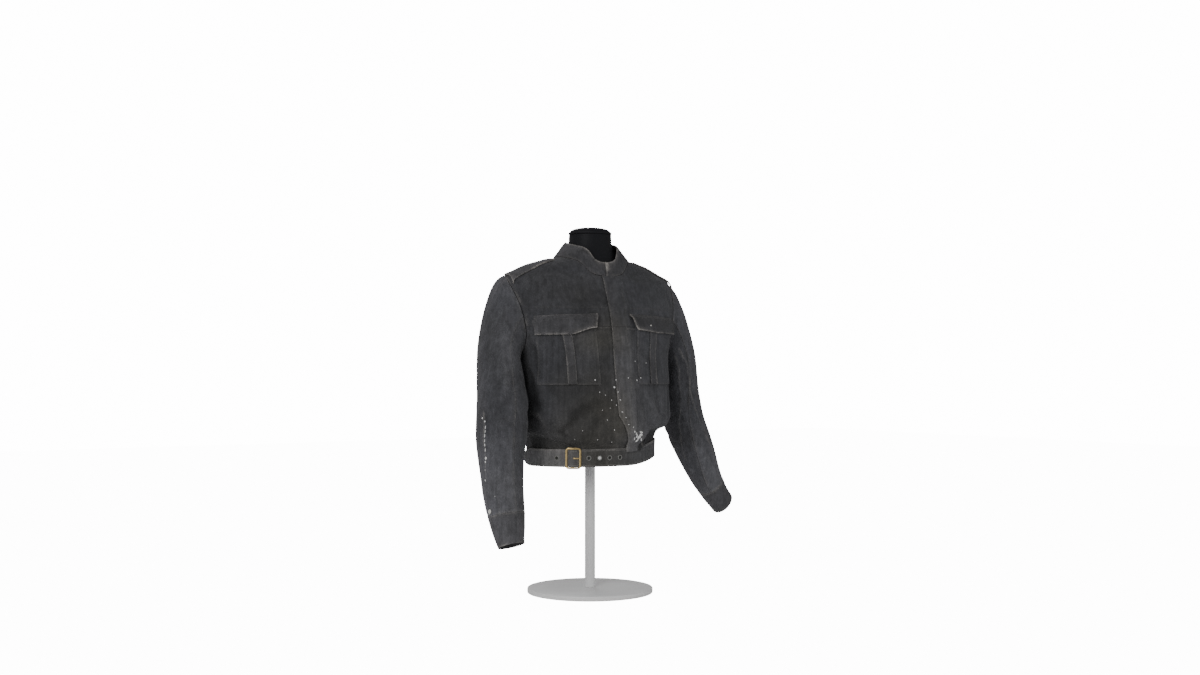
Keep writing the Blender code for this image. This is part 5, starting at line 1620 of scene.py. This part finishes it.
def makeButtons(landing):
    radius, thick = smallShape["buttonRadius"], smallShape["buttonThickness"]
    corners = [(0.0, 0.0), (radius - 0.0006, 0.0), (radius, 0.0012), (radius - 0.0005, thick),
               (radius - 0.0016, thick), (radius - 0.0024, thick - 0.0008), (0.0, thick - 0.0008)]
    button = makeTurned("pale_button", roundProfile(corners, 0.0003), "sleeve_button", "button",
                        columns=41)
    angle, height = (np.float64(value) for value in smallShape["buttonPlace"])
    point = sleeveTube(-1, angle, height)
    outward = unit(point - sleeveCentre(-1, height))
    hit, _ = landOn(landing, point, outward)
    lying = frameAt(hit + Vector(outward) * 0.001, outward, upwards, (1.0, 1.0, 1.0))
    button.data.transform(lying)
    # four dark dots: painted shade in the button's thread holes
    hole = makeUnit(10, 6, "hole")
    spots = []
    for turned in (45, 135, 225, 315):
        across, along = math.cos(math.radians(turned)), math.sin(math.radians(turned))
        local = Vector((radius * 0.26 * across, radius * 0.26 * along, thick - 0.0008))
        spots.append(lying @ Matrix.Translation(local) @ Matrix.Diagonal((0.0004, 0.0004, 0.0001, 1.0)))
    copyUnit(hole, "button_holes", spots)
    bpy.data.objects.remove(hole, do_unlink=True)
    angle, height = (np.float64(value) for value in smallShape["studPlace"])
    hit, normal = landOn(landing, bodyPoint(angle, height), bodyNormal(angle, height))
    size = smallShape["studRadius"]
    lying = frameAt(hit, normal, upwards, (size, size, 0.0013))
    placeUnit("flap_stud", 20, 12, "button", lying)


# dress form and stand

formShape = {
    # height, half width, front depth, back depth, and the sides' Y
    "rings": [
        (0.018, 0.139, 0.099, 0.093, 0.0), (0.03, 0.142, 0.102, 0.096, 0.0),
        (0.09, 0.15, 0.108, 0.104, 0.0), (0.17, 0.16, 0.111, 0.109, 0.0),
        (0.25, 0.172, 0.11, 0.111, 0.002), (0.31, 0.182, 0.106, 0.108, 0.006),
        (0.36, 0.189, 0.098, 0.1, 0.012), (0.4, 0.192, 0.088, 0.091, 0.016),
        (0.43, 0.192, 0.078, 0.082, 0.02), (0.45, 0.1905, 0.074, 0.077, 0.019),
        (0.4605, 0.1885, 0.07, 0.073, 0.018), (0.4705, 0.1645, 0.067, 0.0692, 0.016),
        (0.4845, 0.114, 0.0625, 0.064, 0.011), (0.494, 0.085, 0.0575, 0.06, 0.006),
        (0.502, 0.074, 0.055, 0.0565, 0.002), (0.516, 0.057, 0.051, 0.052, 0.0),
        (0.53, 0.051, 0.0495, 0.0505, 0.0), (0.553, 0.0495, 0.0495, 0.0495, 0.0),
    ],
    "lipRadius": 0.0516,
    "lipHeight": 0.0065,
    "domeHeight": 0.0115,
    "poleRadius": 0.0125,
    "baseRadius": 0.15,
    "baseThickness": 0.012,
}


def finishClosed(piece, node, finish):
    inEditMode(piece, (bpy.ops.mesh.remove_doubles, {"threshold": 0.00003}),
               (bpy.ops.mesh.normals_make_consistent, {"inside": False}))
    return finishPiece(piece, finish, node, smooth=40.0)


def makeTorso():
    rings = formShape["rings"]
    height = evenSteps(lambda up: ringPoint(rings, 90.0, up), rings[0][0], rings[-1][0], 130, 500)
    body = ringPoint(rings, *gridOf(np.linspace(0.0, 360.0, 129), height))
    body[:, -1] = body[:, 0]
    ends = []
    for ring in (body[:1], body[-1:]):
        middle = ring.mean(axis=1, keepdims=True)
        ends.append([middle + (ring - middle) * share for share in (0.0, 0.5, 0.96)])
    points = np.concatenate([*ends[0], body, *reversed(ends[1])], axis=0)
    finishClosed(addGrid("smooth_torso", points)[0], "form_torso", "form")


def makeTurned(name, profile, node, finish, columns=97):
    # a closed solid of revolution from radius and height pairs
    turn, radius = gridOf(np.linspace(0.0, 2.0 * math.pi, columns), [pair[0] for pair in profile])
    points = stacked(radius * np.cos(turn), radius * np.sin(turn), np.array(profile)[:, 1:])
    points[:, -1] = points[:, 0]
    return finishClosed(addGrid(name, points)[0], node, finish)


def roundProfile(corners, radius=0.0008):
    # each corner between two straight runs is eased by a few points
    points = [corners[0]]
    for before, corner, after in zip(corners, corners[1:], corners[2:]):
        a, b, c = (np.array(p) for p in (before, corner, after))
        reach = min(radius, np.linalg.norm(a - b) / 2.5, np.linalg.norm(c - b) / 2.5)
        start, stop = b + unit(a - b) * reach, b + unit(c - b) * reach
        for t in (0.0, 0.35, 0.65, 1.0):
            points.append(tuple(start * (1 - t) ** 2 + 2 * b * t * (1 - t) + stop * t**2))
    return [*points, corners[-1]]


def makeForm():
    makeTorso()
    base = hemZ + formShape["rings"][-1][0] + 0.0003
    lip, rim = formShape["lipRadius"], base + formShape["lipHeight"]
    cap = [(0.0, base), (lip - 0.002, base), (lip, base + 0.002), (lip, rim), (lip - 0.003, rim)]
    cap = roundProfile(cap, 0.001)
    for step in range(1, 13):
        turn = math.radians(90.0 * step / 12)
        radius = (lip - 0.003) * math.cos(turn) ** 0.7 if step < 12 else 0.0
        cap.append((radius, rim + formShape["domeHeight"] * math.sin(turn)))
    makeTurned("smooth_cap", cap, "neck_cap", "form")
    radius, low = formShape["poleRadius"], formShape["baseThickness"] + 0.0003
    high = hemZ + formShape["rings"][0][0] - 0.0003
    pole = roundProfile([(0.0, low), (radius, low), (radius, high), (0.0, high)], 0.0006)
    makeTurned("round_pole", pole, "pole", "stand", columns=49)
    radius, high = formShape["baseRadius"], formShape["baseThickness"]
    plate = [(0.0, 0.0), (radius, 0.0), (radius, high), (radius * 0.5, high), (0.0, high)]
    makeTurned("round_base", roundProfile(plate, 0.0028), "base_plate", "stand", columns=129)


makeForm()
print("stage: form and stand made")
landing = makeLanding()
makeEyelets()
makeButtons(landing)
makeStitches()
makePaint(landing)
makeFray()
print("stage: eyelets, buttons, stitches, paint and loose threads made")


# floor, light and camera

studio = {
    "floorSize": 14.0,
    "floorColour": (0.9, 0.9, 0.9),
    "worldColour": (1.0, 1.0, 1.0),
    "worldStrength": 0.4,
    "backdropStrength": 15.0,
    "floorGlow": 15.0,
    "floorGlowShare": 0.93,
    # name, place, aim, size, watts
    "lights": [
        ("keyLight", (-3.0, -1.9, 1.7), (0.0, 0.0, 0.5), 1.6, 62.0),
        ("fillLight", (2.2, -2.9, 1.0), (0.0, 0.0, 0.5), 2.0, 14.0),
        ("rimLight", (0.8, 2.8, 2.2), (0.0, 0.0, 0.6), 1.8, 16.0),
    ],
    "cameraPlace": (-1.8518, -2.8515, 0.53),
    "cameraAim": (0.0201, -0.0131, 0.608),
    "lens": 42.5,
}


def aimAt(thing, place, aim):
    thing.location = place
    thing.rotation_euler = (Vector(aim) - Vector(place)).to_track_quat("-Z", "Y").to_euler()


def makeStudio():
    selectOnly()
    bpy.ops.mesh.primitive_plane_add(size=studio["floorSize"], location=(0.0, 0.0, -0.0006))
    floor = bpy.context.object
    floor.name = "studioFloor"
    material, tree, shader = newMaterial("paleFloor")
    setInputs(tree, shader, {
        "Base Color": (*studio["floorColour"], 1.0), "Roughness": 0.9, "Specular IOR Level": 0.1,
    })
    # the camera sees the floor burnt out to nearly white, as on a photographer's sweep
    glow = addNode(tree, "Emission", "Emission", {"Strength": studio["floorGlow"]})
    share = times(tree, addNode(tree, "LightPath", "Is Camera Ray"), studio["floorGlowShare"])
    both = addNode(tree, "MixShader", "Shader", {"Fac": share, 1: shader.outputs["BSDF"], 2: glow})
    setInputs(tree, tree.nodes["Material Output"], {"Surface": both})
    floor.data.materials.append(material)
    world = bpy.context.scene.world or bpy.data.worlds.new("studioWorld")
    bpy.context.scene.world = world
    world.use_nodes = True
    tree = world.node_tree
    tree.nodes.clear()
    blend = {"Fac": addNode(tree, "LightPath", "Is Camera Ray")}
    for index, strength in enumerate((studio["worldStrength"], studio["backdropStrength"])):
        white = {"Color": (*studio["worldColour"], 1.0), "Strength": strength}
        blend[1 + index] = addNode(tree, "Background", "Background", white)
    addNode(tree, "OutputWorld", inputs={"Surface": addNode(tree, "MixShader", "Shader", blend)})
    for name, place, aim, size, watts in studio["lights"]:
        bpy.ops.object.light_add(type="AREA")
        lamp = bpy.context.object
        lamp.name = name
        lamp.data.size, lamp.data.energy = size, watts
        aimAt(lamp, place, aim)
    bpy.ops.object.camera_add()
    camera = bpy.context.object
    camera.name = "photoCamera"
    camera.data.lens = studio["lens"]
    camera.data.sensor_width = 36.0
    camera.data.clip_end = 50.0
    aimAt(camera, studio["cameraPlace"], studio["cameraAim"])
    bpy.context.scene.camera = camera


makeStudio()

declareSheet(back)
for side, word in sleeveWords.items():
    declareSheet(fronts[side])
    declareSheet(yokes[side])
    declareSheet(sleeves["top", side])
    declareSheet(sleeves["under", side])
    declareSheet(sleeves["cuff", side])
    declareSheet(pockets[side])
    declareSheet(pleats[side])
    declareSheet(flaps[side])
    declareSheet(epaulettes[side])
declareSheet(collar)
declareSheet(waistband)
declareSheet(belt)
